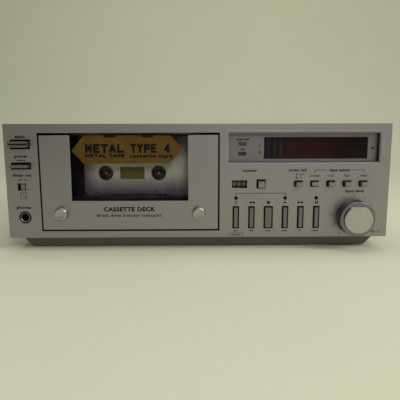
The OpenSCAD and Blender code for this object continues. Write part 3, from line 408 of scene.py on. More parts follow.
class Shape:
    """Collects parts in one mesh, in the row frame."""

    def __init__(self):
        self.bm = bmesh.new()

    def take(self, bm, bevel=0.0, seg=2):
        """Adds a part. bevel rounds its edges, in seg steps."""
        if bevel:
            edges = [e for e in bm.edges if e.is_manifold and e.calc_face_angle(0) > radians(30)]
            bmesh.ops.bevel(bm, geom=edges, offset=bevel * MM, segments=seg, profile=0.5, affect="EDGES",
                            clamp_overlap=True)
        bmesh.ops.recalc_face_normals(bm, faces=bm.faces[:])
        me = bpy.data.meshes.new("part")
        bm.to_mesh(me)
        bm.free()
        self.bm.from_mesh(me)
        bpy.data.meshes.remove(me)
        return self

    def skin(self, layers, closed=False, bevel=0.0, seg=2):
        """Outlines with the same number of points, joined in order. closed joins the last to the first."""
        bm = bmesh.new()
        rings = [[bm.verts.new(p) for p in layer] for layer in layers]
        if not closed:
            bm.faces.new(rings[0])
            bm.faces.new(rings[-1][::-1])
        for a, b in zip(rings, rings[1:] + (rings[:1] if closed else [])):
            for i in range(len(a)):
                j = (i + 1) % len(a)
                bm.faces.new((a[i], a[j], b[j], b[i]))
        return self.take(bm, bevel, seg)

    def prism(self, pts, d0, d1, bevel=0.0, seg=2):
        """An outline in x and z between two depths."""
        return self.skin([[P(x, d, z) for x, z in pts] for d in (d0, d1)], False, bevel, seg)

    def block(self, x0, x1, d0, d1, z0, z1, bevel=0.0, seg=2):
        return self.prism(rect(x0, x1, z0, z1), d0, d1, bevel, seg)

    def bar(self, x, z, w, h, d0, d1, bevel=0.0, seg=2):
        return self.block(x - w / 2, x + w / 2, d0, d1, z - h / 2, z + h / 2, bevel, seg)

    def lathe(self, x, z, profile, steps=64):
        """Radii and depths, turned around an axis along the depth. Ends off the axis are joined."""
        bm = bmesh.new()
        rings = []
        for r, d in profile:
            if r < 1e-6:
                rings.append([bm.verts.new(P(x, d, z))])
            else:
                rings.append([bm.verts.new(P(px, d, pz)) for px, pz in circle(x, z, r, steps)])
        pairs = list(zip(rings, rings[1:]))
        if len(rings[0]) > 1 and len(rings[-1]) > 1:
            pairs.append((rings[-1], rings[0]))
        for a, b in pairs:
            if len(a) == 1 and len(b) == 1:
                continue
            for i in range(steps):
                j = (i + 1) % steps
                if len(a) == 1:
                    bm.faces.new((a[0], b[j], b[i]))
                elif len(b) == 1:
                    bm.faces.new((a[i], a[j], b[0]))
                else:
                    bm.faces.new((a[i], a[j], b[j], b[i]))
        return self.take(bm)

    def mesh(self, me, matrix):
        bm = bmesh.new()
        bm.from_mesh(me)
        bm.transform(matrix)
        return self.take(bm)

    def strip(self, pts, width, d0=-INK, d1=INK):
        """A line of the given width through points in x and z, with round joints where it slants."""
        for k, ((x0, z0), (x1, z1)) in enumerate(zip(pts, pts[1:])):
            step = STROKE_STEP * k
            dx, dz = x1 - x0, z1 - z0
            n = hypot(dx, dz)
            px, pz = -dz / n * width / 2, dx / n * width / 2
            slanted = abs(dx) > 1e-6 and abs(dz) > 1e-6
            reach = 0 if slanted else width / 2
            ex, ez = dx / n * reach, dz / n * reach
            if slanted:
                for x, z in ((x0, z0), (x1, z1)):
                    self.disc(x, z, width / 2, d0 - step - STROKE_STEP / 2, d1 + step + STROKE_STEP / 2, 20)
            self.prism([(x0 + px - ex, z0 + pz - ez), (x0 - px - ex, z0 - pz - ez),
                        (x1 - px + ex, z1 - pz + ez), (x1 + px + ex, z1 + pz + ez)], d0 - step, d1 + step)
        return self

    def disc(self, x, z, r, d0=-INK, d1=INK, steps=28):
        return self.prism(circle(x, z, r, steps), d0, d1)

    def ring(self, x, z, r, width):
        return self.lathe(x, z, [(r - width, -INK), (r, -INK), (r, INK), (r - width, INK)], 32)

    def text(self, words, x, z, size, d=-INK, weight=0.0, wide=1.0, rear=False, space=1.0, bold=0.0):
        """Plain lettering on the face at depth d. size is a capital's height. bold adds shifted copies."""
        me = letter_mesh(words, size / CAP_HEIGHT, INK, weight, space)
        turn = Matrix.Rotation(pi / 2, 4, "X")
        if rear:
            turn = Matrix.Rotation(pi, 4, "Z") @ turn
        shifts = [(0, 0)] + ([(-bold, 0), (bold, 0), (0, -bold), (0, bold)] if bold else [])
        for k, (dx, dz) in enumerate(shifts):
            place = Matrix.Translation(P(x + dx, d - COPY_STEP * k, z + dz)) @ turn
            self.mesh(me, place @ Matrix.Diagonal((wide * MM, MM, MM, 1)))
        bpy.data.meshes.remove(me)
        return self

    def strokes(self, word, x, z, w, h, gap, line, d0, d1):
        """Bold capitals drawn with lines, centred on x and z. w and h are one letter's."""
        left = x - (len(word) * w + (len(word) - 1) * gap - line) / 2
        low = z - (h - line) / 2
        for k, ch in enumerate(word):
            for i, path in enumerate(STROKES.get(ch, ())):
                pts = [(left + k * (w + gap) + u * (w - line), low + v * (h - line)) for u, v in path]
                self.strip(pts, line, d0 - PATH_STEP * i, d1 + PATH_STEP * i)
        return self

    def done(self, name, mat, body="chassis", replaces=None, slot=None, sharp=35):
        """Makes the piece. Edges that turn by more than sharp degrees stay sharp."""
        bm = self.bm
        bmesh.ops.remove_doubles(bm, verts=bm.verts[:], dist=1e-7)
        for f in bm.faces:
            f.smooth = True
        for e in bm.edges:
            e.smooth = e.is_manifold and e.calc_face_angle(0) < radians(sharp)
        me = bpy.data.meshes.new(name)
        bm.to_mesh(me)
        bm.free()
        me.materials.append(M[mat])
        ob = new_object(name, me)
        even = ob.modifiers.new("even_normals", "WEIGHTED_NORMAL")
        even.keep_sharp = True
        even.weight = 100
        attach(ob, body)
        if replaces:
            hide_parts(replaces)


def grown(pts, by):
    """The same outline, moved outwards from its middle: a rectangle in x and z, a circle in radius."""
    cx, cz = ((min(side) + max(side)) / 2 for side in zip(*pts))
    if len(pts) == 4:
        return [(x + copysign(by, x - cx), z + copysign(by, z - cz)) for x, z in pts]
    larger = 1 + by / hypot(pts[0][0] - cx, pts[0][1] - cz)
    return [(cx + larger * (x - cx), cz + larger * (z - cz)) for x, z in pts]


def plate(name, outer, holes, d0, d1, bevel, mat, body="chassis", replaces=None, slot=None):
    """A flat plate with holes and softly broken edges, from a filled curve."""
    cu = bpy.data.curves.new(name, "CURVE")
    cu.dimensions = "2D"
    cu.fill_mode = "BOTH"
    cu.extrude = (d1 - d0) / 2 * MM - bevel * MM
    cu.bevel_depth = bevel * MM
    cu.bevel_resolution = 1
    cu.offset = -bevel * MM
    for k, pts in enumerate([outer] + holes):
        area = sum(a[0] * b[1] - b[0] * a[1] for a, b in zip(pts, pts[1:] + pts[:1]))
        if (area > 0) != (k == 0):
            pts = pts[::-1]
        s = cu.splines.new("POLY")
        s.points.add(len(pts) - 1)
        for p, (x, z) in zip(s.points, pts):
            p.co = (x * MM, z * MM, 0, 1)
        s.use_cyclic_u = True
    me = curve_mesh(cu)
    place = Matrix.Translation(P(0, (d0 + d1) / 2, 0)) @ Matrix.Rotation(pi / 2, 4, "X")
    Shape().mesh(me, place).done(name, mat, body, replaces, slot, 50)
    bpy.data.meshes.remove(me)


# ---------- finishes of the CAD nodes that stay ----------

FINISH = {
    "panel": ["front_panel", "door_cover"],
    "frame": ["front_frame"],
    "case": ["bottom_tray", "top_cover"],
    "rear": ["rear_panel"],
    "rubber": ["feet"],
    "screw": ["cover_screws"],
    "bezel": ["display_bezel"],
    "filter": ["display_window"],
    "moulded": ["meter_tube", "power_switch", "mains_inlet", "counter_housing"],
    "jack_black": ["phones_jack"],
    "steel": ["level_potentiometer", "mechanism_plate", "capstan_motor", "reel_motor", "head_base",
              "pinch_arm"],
    "board": ["control_boards", "main_board"],
    "iron": ["power_transformer"],
    "chrome": ["line_sockets"],
    "coil": ["head_solenoid"],
    "belt": ["counter_belt", "reel_pulley", "pinch_roller"],
    "pulley": ["counter_pulley"],
    "acrylic": ["door_window"],
    "thumb": ["door_thumbscrews"],
    "carrier": ["cassette_carrier"],
    "cassette": ["cassette_shell"],
    "tape": ["supply_hub", "takeup_hub"],
    "spindle": ["supply_spindle", "takeup_spindle"],
    "brass": ["capstan_flywheel"],
    "head": ["tape_heads"],
    "ring": ["level_ring"],
    "knob": ["level_knob"],
    "key": [name + "_key" for _, _, name in KEYS],
    "counter": ["counter_wheel_" + place for place in ("hundreds", "tens", "units")],
    "silver": ["eject_button", "power_button", "timer_switch", "counter_reset"]
              + [name for _, name in BUTTONS],
}
for kind, nodes in FINISH.items():
    for node in nodes:
        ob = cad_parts[node]
        if not ob.material_slots:
            ob.data.materials.append(M[kind])
        for s in ob.material_slots:
            s.link = "OBJECT"
            s.material = M[kind]


# ---------- front panel and door plate ----------

SKIN = 0.7               # thickness of the metal faces, with dark plastic behind them
SOFT_EDGE = 0.14         # how far their edges are rounded
KEY_H = 15.6             # height of a key's cap
PANEL = rect(PANEL_X0, PANEL_X1, 0, PANEL_TOP)
BACKING = rect(-COVER_X, COVER_X, 3.5, 84.9)
OPENINGS = {
    "door": rect(DOOR_X0 - 1.25, DOOR_X1 + 1.3, DOOR_Z0 - 1.25, 81.6),
    "display": rect(22.5, 140.5, 58.2, 81.8),
    "eject": rect(-143.8, -128.5, 69.5, 76.7),
    "power": rect(-144.0, -128.6, 54.0, 59.2),
    "timer": rect(-139.8, -133.6, 37.6, 43.2),
    "reset": rect(45.1, 52.1, 38.6, 45.6),
    "counter": rect(25.9, 37.7, 38.9, 44.9),
    "phones": circle(*JACK, 4.8),
    "level": circle(*KNOB, 4.8),
}
holes = list(OPENINGS.values())
holes += [rect(x - 3.4, x + 3.3, BUTTON_Z - 2.35, BUTTON_Z + 2.5) for x, _ in BUTTONS]
holes += [rect(x - w / 2 - 1.1, x + w / 2 + 1.1, KEY_Z - KEY_H / 2 - 1.05, KEY_Z + KEY_H / 2 + 1.15)
          for x, w, _ in KEYS]
plate("panel_skin", PANEL, holes, 0, SKIN, SOFT_EDGE, "panel", "chassis", "front_panel", "panel_aluminium")
plate("panel_rim", PANEL, [BACKING], SKIN, PANEL_BACK, 0.05, "panel", slot="panel_aluminium")
plate("panel_backing", BACKING, [grown(h, 0.1) for h in holes], SKIN, PANEL_BACK, 0.02, "frame",
      slot="frame_plastic")

WINDOW = (DOOR_X - 45.2, DOOR_X + 45.2, 29.2)      # sides and lower edge of the door plate's cut-out
DOOR_TOP = 79.8


def door_outline(inset):
    """The U of the door plate, with its outer and inner edges moved inwards."""
    x0, x1, z0 = DOOR_X0 + inset, DOOR_X1 - inset, DOOR_Z0 + inset
    w0, w1, wz, top = WINDOW[0] - inset, WINDOW[1] + inset, WINDOW[2] - inset, DOOR_TOP - inset
    return [(x0, z0), (x1, z0), (x1, top), (w1, top), (w1, wz), (w0, wz), (w0, top), (x0, top)]


screw_holes = [circle(x, z, 1.7, 24) for x, z in THUMBSCREWS]
plate("door_skin", door_outline(0), screw_holes, 0, SKIN, SOFT_EDGE, "panel", "door", "door_cover",
      "panel_aluminium")
plate("door_backing", door_outline(0.1), screw_holes, SKIN, PANEL_BACK, 0.02, "frame", "door",
      slot="frame_plastic")

# ---------- surround and bead of the display ----------

BEZEL_FACE = 5.0         # depth of the display's recessed face
(bezel_x0, bezel_x1), _, (bezel_z0, bezel_z1) = span("display_bezel")
layers = []
for edge, d in ((0.8, 0.15), (1.4, 0.5), (1.4, BEZEL_FACE), (0.8, BEZEL_FACE)):
    outline = rect(bezel_x0 + edge, bezel_x1 - edge, bezel_z0 + edge, bezel_z1 - edge)
    layers.append([P(x, d, z) for x, z in outline])
Shape().skin(layers, closed=True).done("display_surround", "surround", slot="bezel_silver")
bead = [(0.42 * cos(radians(a)), 0.30 * sin(radians(a))) for a in range(0, 181, 30)]
Shape().skin([[P(x, -out, 82.75 + up) for up, out in bead] for x in (22.3, 141.4)]).done(
    "display_bead", "silver", slot="bezel_silver")

# ---------- lettering and marks on the panel ----------

LETTERING = [            # words, middle in x and z, height of a capital
    ("eject", -135.9, 78.9, 2.3), ("power", -135.9, 64.0, 2.3), ("switch", -135.9, 60.9, 1.5),
    ("timer rec", -135.9, 49.4, 2.25), ("off   on", -135.8, 45.9, 1.3), ("phones", -136.1, 24.3, 2.3),
    ("counter", 39.6, 52.5, 2.1), ("tape select", 109.4, 52.7, 2.15), ("input level", 121.6, 36.3, 2.05),
    ("noise red.", 77.1, 52.8, 2.1), ("out", 79.8, 49.6, 1.3), ("in", 79.5, 47.0, 1.3),
    ("normal", 90.3, 48.3, 1.5), ("CrO", 102.4, 48.3, 1.5), ("FeCr", 115.5, 48.3, 1.5),
    ("metal", 128.1, 48.3, 1.5), ("rec", KEY_X["record"], 5.1, 1.4), ("rew", KEY_X["rewind"], 5.1, 1.4),
    ("stop", KEY_X["stop"], 5.1, 1.4), ("play", KEY_X["play"], 5.1, 1.4), ("ff", KEY_X["forward"], 5.1, 1.4),
    ("pause", 91.7, 5.1, 1.4), ("rec mute", 29.1, 2.2, 1.1), ("L", 132.9, 4.0, 1.4), ("R", 142.4, 4.2, 1.4)]
HEADING = 1.8            # words taller than this are a little bolder
ink = Shape()
for words, x, z, size in LETTERING:
    ink.text(words, x, z, size, weight=min(0.08, 0.04 * size), wide=1.12, space=1.06,
             bold=0.02 * size if size > HEADING else 0.0)
ink.text("2", 105.2, 47.6, 0.9, weight=0.02)

# brackets over the keys and the tape buttons, the frame of the lowest words, and dots over three keys
LINE, THIN_LINE, HAIR_LINE = 0.42, 0.35, 0.3
ink.strip([(29.15, 32.9), (29.15, 34.8), (67.9, 34.8), (67.9, 32.9)], LINE)
ink.strip([(90.3, 50.4), (90.3, 52.8), (99.2, 52.8)], LINE)
ink.strip([(119.6, 52.8), (128.3, 52.8), (128.3, 50.4)], LINE)
ink.strip(rect(23.4, 34.8, 1.0, 3.4) + [(23.4, 1.0)], 0.25)
for x in (29.2, 67.6, 92.0):
    ink.disc(x, 31.0, 1.5)

# signs over the keys
ICON_Z = 27.5


def triangle(x, z, w, h, way=1):
    ink.prism([(x - way * w / 2, z - h / 2), (x + way * w / 2, z), (x - way * w / 2, z + h / 2)], -INK, INK)


ink.ring(KEY_X["record"], ICON_Z, 1.1, 0.4)
for dx in (-1.2, 1.2):
    triangle(KEY_X["rewind"] + dx, ICON_Z, 2.4, 2.4, -1)
    triangle(KEY_X["forward"] + dx, ICON_Z, 2.4, 2.4)
    ink.bar(92.25 + dx * 2 / 3, ICON_Z, 1.0, 2.3, -INK, INK)
ink.bar(KEY_X["stop"], ICON_Z, 2.3, 2.3, -INK, INK)
triangle(KEY_X["play"], ICON_Z, 2.3, 2.3)

# out and in of the noise reduction button
ink.prism([(75.2, 48.9), (76.8, 48.9), (76.0, 50.3)], -INK, INK)
ink.bar(76.0, 47.0, 1.2, 1.2, -INK, INK)

# positions and clock sign of the timer switch
ink.disc(-135.9, 45.9, 0.35, steps=12)
ink.strip(rect(-137.9, -133.3, 31.2, 35.8) + [(-137.9, 31.2)], THIN_LINE)
ink.strip([(-135.6, 35.0), (-135.6, 33.4), (-134.2, 32.4)], THIN_LINE)
ink.text("on", -130.6, 38.3, 1.1, weight=0.02)
ink.strip([(-132.9, 38.1), (-132.2, 38.1)], HAIR_LINE)

# level scale: from lower left over the top to the right
SCALE_R, SCALE_START, SCALE_STEP = 17.1, 232, 28.4
for i in range(11):
    a = radians(SCALE_START - SCALE_STEP * i)
    x, z = KNOB[0] + SCALE_R * cos(a), KNOB[1] + SCALE_R * sin(a)
    if z > 1.2:
        dx, dz = cos(a) * 0.7, sin(a) * 0.7
        ink.strip([(x - dx, z - dz), (x + dx, z + dz)], 0.4)

# sign beside the knob: a ring and its middle, with a line to the letter of each channel
ink.ring(137.7, 4.1, 1.25, 0.3)
ink.disc(137.7, 4.1, 0.5, steps=16)
ink.strip([(134.2, 4.1), (136.4, 4.1)], HAIR_LINE)
ink.strip([(139.0, 4.1), (141.2, 4.1)], HAIR_LINE)
ink.done("panel_lettering", "ink")

Shape().text("CASSETTE DECK", -54.2, 22.4, 3.15, weight=0.06, wide=1.12, space=1.09, bold=0.17).done(
    "door_title", "ink", "door")
Shape().text("direct drive 2-motor transport", -54.4, 17.7, 2.3, weight=0.05, wide=1.19, space=1.04,
             bold=0.05).done("door_small_print", "soft_ink", "door")

display_words = Shape()
for words, x, z, size in (("noise red.", 34.6, 76.4, 1.65), ("rec", 34.4, 68.8, 1.6),
                          ("L", 47.7, METER_Z[0], 1.6), ("R", 47.8, METER_Z[1], 1.6),
                          ("dB", 135.9, 69.5, 1.7)):
    display_words.text(words, x, z, size, d=BEZEL_FACE - INK, weight=0.1, wide=1.1)
display_words.done("display_lettering", "ink")

# ---------- display ----------

for name, lens, z in (("noise_reduction_lamp", "lens_grey", 72.95), ("record_lamp", "lens", 65.35)):
    Shape().bar(34.2, z, 6.1, 2.8, 4.7, 7.0, 0.35, 3).done(name, lens)
segments = Shape()
for z in METER_Z:
    for i in range(24):
        segments.bar(59.5 + 2.9 * i, z, 2.2, 2.6, 8.85, 9.02)
segments.done("meter_segments", "segment_off")
scale = Shape()
for i, words in enumerate(("-20", "-10", "-7", "-5", "-3", "-1", "0", "+1", "+3", "+5", "+8")):
    scale.text(words, 62.0 + 6.2 * i, 75.6, 1.5, d=8.95)
scale.done("meter_scale", "segment_off")

# ---------- phones socket ----------

Shape().lathe(*JACK, [(3.75, 0.15), (4.55, 0.15), (4.7, 0.35), (4.7, 3.2), (3.75, 3.2)]).done(
    "phones_collar", "jack_black")
Shape().lathe(*JACK, [(3.1, 0.25), (3.3, 0.0), (3.55, 0.05), (3.7, 0.35), (3.7, 0.8), (3.1, 3.0)]).done(
    "phones_bush", "thumb", slot="jack_metal")

# ---------- keys and buttons ----------
# Each cap ends in a dark flange behind the panel, so the gap around it looks black.

FLANGE_D = 3.5           # front of the flanges
CAP_END = 3.6            # caps reach a little into them

for x, w, name in KEYS:
    Shape().bar(x, KEY_Z, w, KEY_H, -1.0, CAP_END, 0.32, 3).done(
        name + "_key_cap", "key", name + "_key", name + "_key", "key_silver")
    s = Shape()
    s.bar(x, KEY_Z, w + KEY_FLANGE, 19.0, FLANGE_D, 4.6)
    s.bar(x, KEY_Z, 2.4, 2.4, 4.5, 6.8)
    s.done(name + "_key_flange", "frame", name + "_key")

BUTTON_OUT = -5.5        # face of a button that isn't pushed in
for x, name in BUTTONS:
    push = span(name)[1][0] - BUTTON_OUT
    Shape().bar(x, BUTTON_Z, 5.0, 3.0, BUTTON_OUT + push, CAP_END + push, 0.3, 3).done(
        name + "_cap", "silver", name, name, "button_silver")
    s = Shape()
    s.bar(x, BUTTON_Z, 7.6, 5.6, FLANGE_D + push, 4.5 + push)
    s.bar(x, BUTTON_Z, 2.6, 2.6, 4.4 + push, 18 + push)
    s.done(name + "_flange", "frame", name)

# counter reset: an arm reaches from its stem to the counter
reset_x, reset_z = 48.7, middle("counter_reset")[1]
Shape().bar(48.8, 41.8, 4.9, 4.9, -2.5, CAP_END, 0.35, 3).done(
    "counter_reset_cap", "silver", "counter_reset", "counter_reset", "button_silver")
s = Shape()
s.bar(reset_x, reset_z, 8.6, 8.4, FLANGE_D, 4.5)
s.block(span("counter_reset")[0][0], reset_x + 1, 8, 10, reset_z - 1.5, reset_z + 1.5)
s.bar(reset_x, reset_z, 2, 3, 4.4, 8.2)
s.done("counter_reset_flange", "frame", "counter_reset")

# eject cap: two ribs with a groove between them, a black strip in the groove as painted shade, and an arm
# from its stem to the door
eject_x, eject_z = -136.2, middle("eject_button")[1]
s = Shape()
for side in (-1, 1):
    s.bar(eject_x, eject_z + side * 1.4, 13.8, 1.7, -6.5, CAP_END, 0.25, 3)
s.bar(eject_x, eject_z, 13.4, 1.3, -5.6, 3.5)
s.done("eject_cap", "key", "eject_button", "eject_button", "button_silver")
s = Shape()
s.bar(eject_x, eject_z, 13.6, 9.2, 3.45, 4.7)
s.block(eject_x - 1, eject_x + 4, 4.5, 16, eject_z - 3, eject_z - 1)
s.block(eject_x - 1, span("eject_button")[0][1], 14, 16, eject_z - 3, eject_z - 1)
s.done("eject_flange", "frame", "eject_button")
# painted shade: a black strip in the groove between the ribs
Shape().bar(eject_x, eject_z, 13.7, 1.0, -5.75, -5.5).done("eject_groove_painted_shade", "frame", "eject_button")

power_x, power_z = middle("power_button")
Shape().bar(power_x, power_z - 0.1, 13.8, 2.2, -5.5, CAP_END, 0.4, 3).done(
    "power_cap", "key", "power_button", "power_button", "button_silver")
s = Shape()
s.bar(power_x, power_z, 13.2, 6.6, FLANGE_D, 4.7)
s.bar(power_x, power_z, 3, 3, 4.5, 28)
s.done("power_flange", "frame", "power_button")

# timer slide: a small cap with three ribs
timer_x, timer_z = -135.2, middle("timer_switch")[1]
s = Shape()
s.bar(timer_x, timer_z, 2.8, 4.6, -1.1, CAP_END, 0.2, 2)
for dx in (-0.95, 0, 0.95):
    s.bar(timer_x + dx, timer_z, 0.42, 4.0, -1.5, -1.0, 0.1, 1)
s.bar(*middle("timer_switch"), 9, 8, FLANGE_D, 4.5)
s.bar(timer_x, timer_z, 2, 2, 4.4, 7.4)
s.done("timer_cap", "silver", "timer_switch", "timer_switch", "button_silver")

# ---------- level control ----------

FLUTES = 180             # around the ring's rim
Shape().lathe(*KNOB, [
    (4.55, -0.2), (11.6, -0.2), (11.7, -5.9), (13.0, -5.9), (13.2, -0.5), (13.65, -0.5), (13.7, -0.9),
    (13.55, -9.4), (13.45, -9.95), (13.1, -10.35), (12.7, -10.5), (11.5, -10.5), (11.3, -10.2), (3.4, -10.2),
    (3.4, -6.6), (4.55, -6.6)], FLUTES).done(
    "level_ring_body", "ring", "level_ring", "level_ring", "knob_aluminium", 28)
Shape().lathe(*KNOB, [
    (9.2, -10.3), (9.2, -10.56), (12.9, -10.56), (13.25, -10.4), (13.55, -9.98), (13.62, -9.5), (13.3, -9.5),
    (13.0, -10.3)], FLUTES).done("level_ring_edge", "ring_face", "level_ring", slot="knob_aluminium")
knurl = Shape()
for k in range(FLUTES):
    a = 2 * pi * (k + 0.5) / FLUTES
    out_x, out_z = cos(a), sin(a)
    foot, tip, half = 13.4, 13.72, 0.13
    knurl.prism([(KNOB[0] + foot * out_x - half * out_z, KNOB[1] + foot * out_z + half * out_x),
                 (KNOB[0] + foot * out_x + half * out_z, KNOB[1] + foot * out_z - half * out_x),
                 (KNOB[0] + tip * out_x, KNOB[1] + tip * out_z)], -8.6, -1.6)
knurl.done("level_ring_knurl", "ring", "level_ring", slot="knob_aluminium")


def knob_outline(radius, cut, steps=88):
    """A circle around the knob's axis, cut off flat at this height above it."""
    half_gap = acos(min(1, cut / radius))
    start, end = pi / 2 + half_gap, pi / 2 - half_gap + 2 * pi
    turns = [start + (end - start) * i / steps for i in range(steps + 1)]
    return [(KNOB[0] + radius * cos(a), KNOB[1] + radius * sin(a)) for a in turns]


# front knob: a disc with a slanted flat across its top and a broken edge
KNOB_R = 10.9
FLAT = 0.89 * KNOB_R     # height of the flat over the axis, at the knob's back
s = Shape()
s.skin([[P(x, d, z) for x, z in knob_outline(radius, FLAT - down)] for radius, down, d in (
    (10.05, 1.46, -13.0), (10.3, 1.43, -12.96), (10.75, 1.2, -12.6), (KNOB_R, 0.94, -12.2),
    (KNOB_R, 0, -10.75))])
s.lathe(*KNOB, [(0, 11.5), (2.6, 11.5), (3, 11.2), (3, -11), (0, -11)], 40)
s.done("level_knob_body", "knob", "level_knob", "level_knob", "knob_aluminium", 20)

# ---------- thumbscrews ----------

profile = [(0, -4.1), (1.8, -4.16), (3.2, -4.3)]
profile += [(3.7 + 1.4 * sin(radians(t)), -3.1 - 1.35 * cos(radians(t)))
            for t in range(0, 91, 15)]
profile += [(5.2, -2.9), (5.2, -0.6), (4.9, -0.05), (1.5, -0.05), (1.5, 4.7), (0, 4.7)]
s = Shape()
for x, z in THUMBSCREWS:
    s.lathe(x, z, profile, 72)
s.done("door_thumbscrew_heads", "thumb", "door", "door_thumbscrews", "thumbscrew_aluminium", 40)

# ---------- window sticker ----------

STICKER_D = 2.9          # front of the sticker, which is stuck on the window
Shape().prism([(-98.0, 68.0), (-88.9, 58.1), (-23.0, 58.3), (-12.2, 69.6), (-21.6, 79.6), (-88.2, 79.8)],
              STICKER_D, STICKER_D + 0.09).done("window_sticker", "sticker", "door")
label = Shape()
label.strokes("METAL", -72.5, 69.7, 5.35, 6.9, 0.85, 1.85, STICKER_D - 0.03, STICKER_D + 0.02)
label.strokes("TYPE 4", -37.2, 69.7, 4.5, 6.9, 0.7, 1.75, STICKER_D - 0.03, STICKER_D + 0.02)
label.text("METAL TAPE", -72.4, 63.9, 2.45, d=STICKER_D, wide=1.44, space=1.1, bold=0.29)
label.text("cassette tape", -36.8, 63.9, 2.7, d=STICKER_D, weight=0.05, wide=1.40, space=1.14, bold=0.15)
label.done("window_sticker_print", "sticker_ink", "door")

# ---------- cassette ----------

SHELL_D = 15.0           # face of the shell between its thick part and its sides
trim = Shape()
for x in HUBS:
    trim.lathe(x, HUB_Z, [(6.0, 14.72), (6.9, 14.72), (7.15, 14.98), (7.15, 15.2), (6.0, 15.2)], 56)
trim.done("cassette_hub_rims", "cassette", "door", slot="cassette_plastic")
Shape().strip([(-79.6, 31.9), (-23.4, 31.9)], 0.7, SHELL_D - 0.1, SHELL_D + 0.1).done(
    "cassette_step_line", "frame", "door")
Shape().bar(DOOR_X, HUB_Z, 19.4, 9.6, SHELL_D, SHELL_D + 1, 0.15, 1).done("cassette_pane", "pane", "door")
Shape().bar(DOOR_X, HUB_Z, 19.5, 9.7, SHELL_D + 1.05, SHELL_D + 1.25).done("cassette_liner", "tape", "door")
corners = Shape()
for x, z in ((-100.2, 76.0), (-6.4, 76.0), (-100.2, 18.4), (-6.4, 18.4)):
    corners.lathe(x, z, [(0, 14.88), (0.35, 14.88), (0.45, 14.7), (1.35, 14.72), (1.5, 14.85), (1.5, 15.1),
                         (0, 15.1)], 24)
corners.done("cassette_screws", "screw", "door")

# clips of the carrier over the cassette, and the tabs that hold the window
CLIPS = (-68.4, -39.3)
clips, tabs = Shape(), Shape()
for x in CLIPS:
    clips.bar(x, 79.2, 10.5, 2.4, 8.5, 14.4, 0.3, 2)
    clips.bar(x, 78.0, 7.0, 1.6, 12.9, 14.3, 0.3, 2)
    tabs.block(x - 4.5, x + 4.5, 2.7, 2.88, 78.1, 80.6, 0.05, 1)
clips.block(-104, -2.6, 5.2, 8.6, 79.0, 80.2, 0.2, 1)
clips.done("cassette_clips", "carrier", "door", slot="carrier_plastic")
tabs.done("window_tabs", "frame", "door")

# The hubs and their teeth are CAD. A ring over each makes the inner edge of the wound tape.
profile = [(5.25, 16.72), (5.6, 16.62), (10.9, 16.62), (10.9, 16.8), (5.25, 16.8)]
for body, x in zip(("supply_hub", "takeup_hub"), HUBS):
    Shape().lathe(x, HUB_Z, profile, 56).done(body + "_core", "hub", body)

# ---------- counter wheels ----------

for place in ("hundreds", "tens", "units"):
    (x0, x1), (d0, d1), (z0, z1) = span("counter_wheel_" + place)
    axis = Matrix.Translation(P((x0 + x1) / 2, (d0 + d1) / 2, (z0 + z1) / 2))
    to_rim = Matrix.Translation((0, -(z1 - z0) / 2 * MM, 0)) @ Matrix.Rotation(pi / 2, 4, "X")
    s = Shape()
    for digit in range(10):
        me = letter_mesh(str(digit), 4.3, 0.04, 0.03)
        turn = Matrix.Rotation(radians(36 * digit), 4, "X")
        s.mesh(me, axis @ turn @ to_rim @ Matrix.Diagonal((MM, MM, MM, 1)))
        bpy.data.meshes.remove(me)
    s.done("counter_digits_" + place, "digit_ink", "counter_wheel_" + place)

# ---------- rear ----------

(line_x0, line_x1), _, (line_z0, line_z1) = span("line_sockets")
SOCKETS_X = (line_x0 + 9, line_x1 - 9)       # outputs, inputs
SOCKETS_Z = (line_z0 + 9, line_z1 - 9)       # right channel, left channel


def at_rear(profile):
    """A lathe's profile with its depths counted outwards from the rear panel."""
    return [(r, REAR_D + out) for r, out in profile]


barrels, line_plate = Shape(), Shape()
line_plate.block(line_x0, line_x1, REAR_D, REAR_D + 1.2, line_z0, line_z1, 0.25, 2)
for x in SOCKETS_X:
    for z in SOCKETS_Z:
        barrels.lathe(x, z, at_rear([(3.4, 6), (3.95, 6), (4.15, 5.8), (4.15, 1.7), (5.3, 1.7), (5.5, 1.5),
                                     (5.5, 1.1), (3.4, 1.1)]), 48)
        barrels.lathe(x, z, at_rear([(0.9, -5.5), (1.6, -5.5), (1.6, 1), (1.5, 1)]), 24)
        line_plate.lathe(x, z, at_rear([(0, -10), (4.15, -10), (4.15, 0), (0, 0)]), 32)
barrels.done("line_socket_barrels", "chrome", "chassis", "line_sockets", "jack_metal")
line_plate.done("line_socket_plate", "moulded")
rivets = Shape()
for x in (89.8, 118.2):
    for z in (23.4, 52.6):
        rivets.lathe(x, z, at_rear([(0, 1.75), (0.9, 1.7), (1.4, 1.45), (1.5, 1.15), (0, 1.15)]), 28)
rivets.done("line_socket_rivets", "steel")
for kind, z in zip(("white", "red"), reversed(SOCKETS_Z)):
    s = Shape()
    for x in SOCKETS_X:
        s.lathe(x, z, at_rear([(1.6, 5.3), (1.9, 5.55), (3.4, 5.55), (3.4, 1.2), (1.6, 1.2)]), 40)
    s.done("line_socket_inserts_" + kind, "socket_" + kind)
rear_words = Shape()
for words, x, z, size in (("LINE OUT", SOCKETS_X[0], 57.6, 1.9), ("LINE IN", SOCKETS_X[1], 57.6, 1.9),
                          ("L", 83.5, SOCKETS_Z[1], 2.2), ("R", 83.5, SOCKETS_Z[0], 2.2),
                          ("AC IN", -112, 34.5, 2.2)):
    rear_words.text(words, x, z, size, d=REAR_D + INK, rear=True, weight=0.03)
rear_words.done("rear_lettering", "pale_ink")

# ---------- cover screws ----------


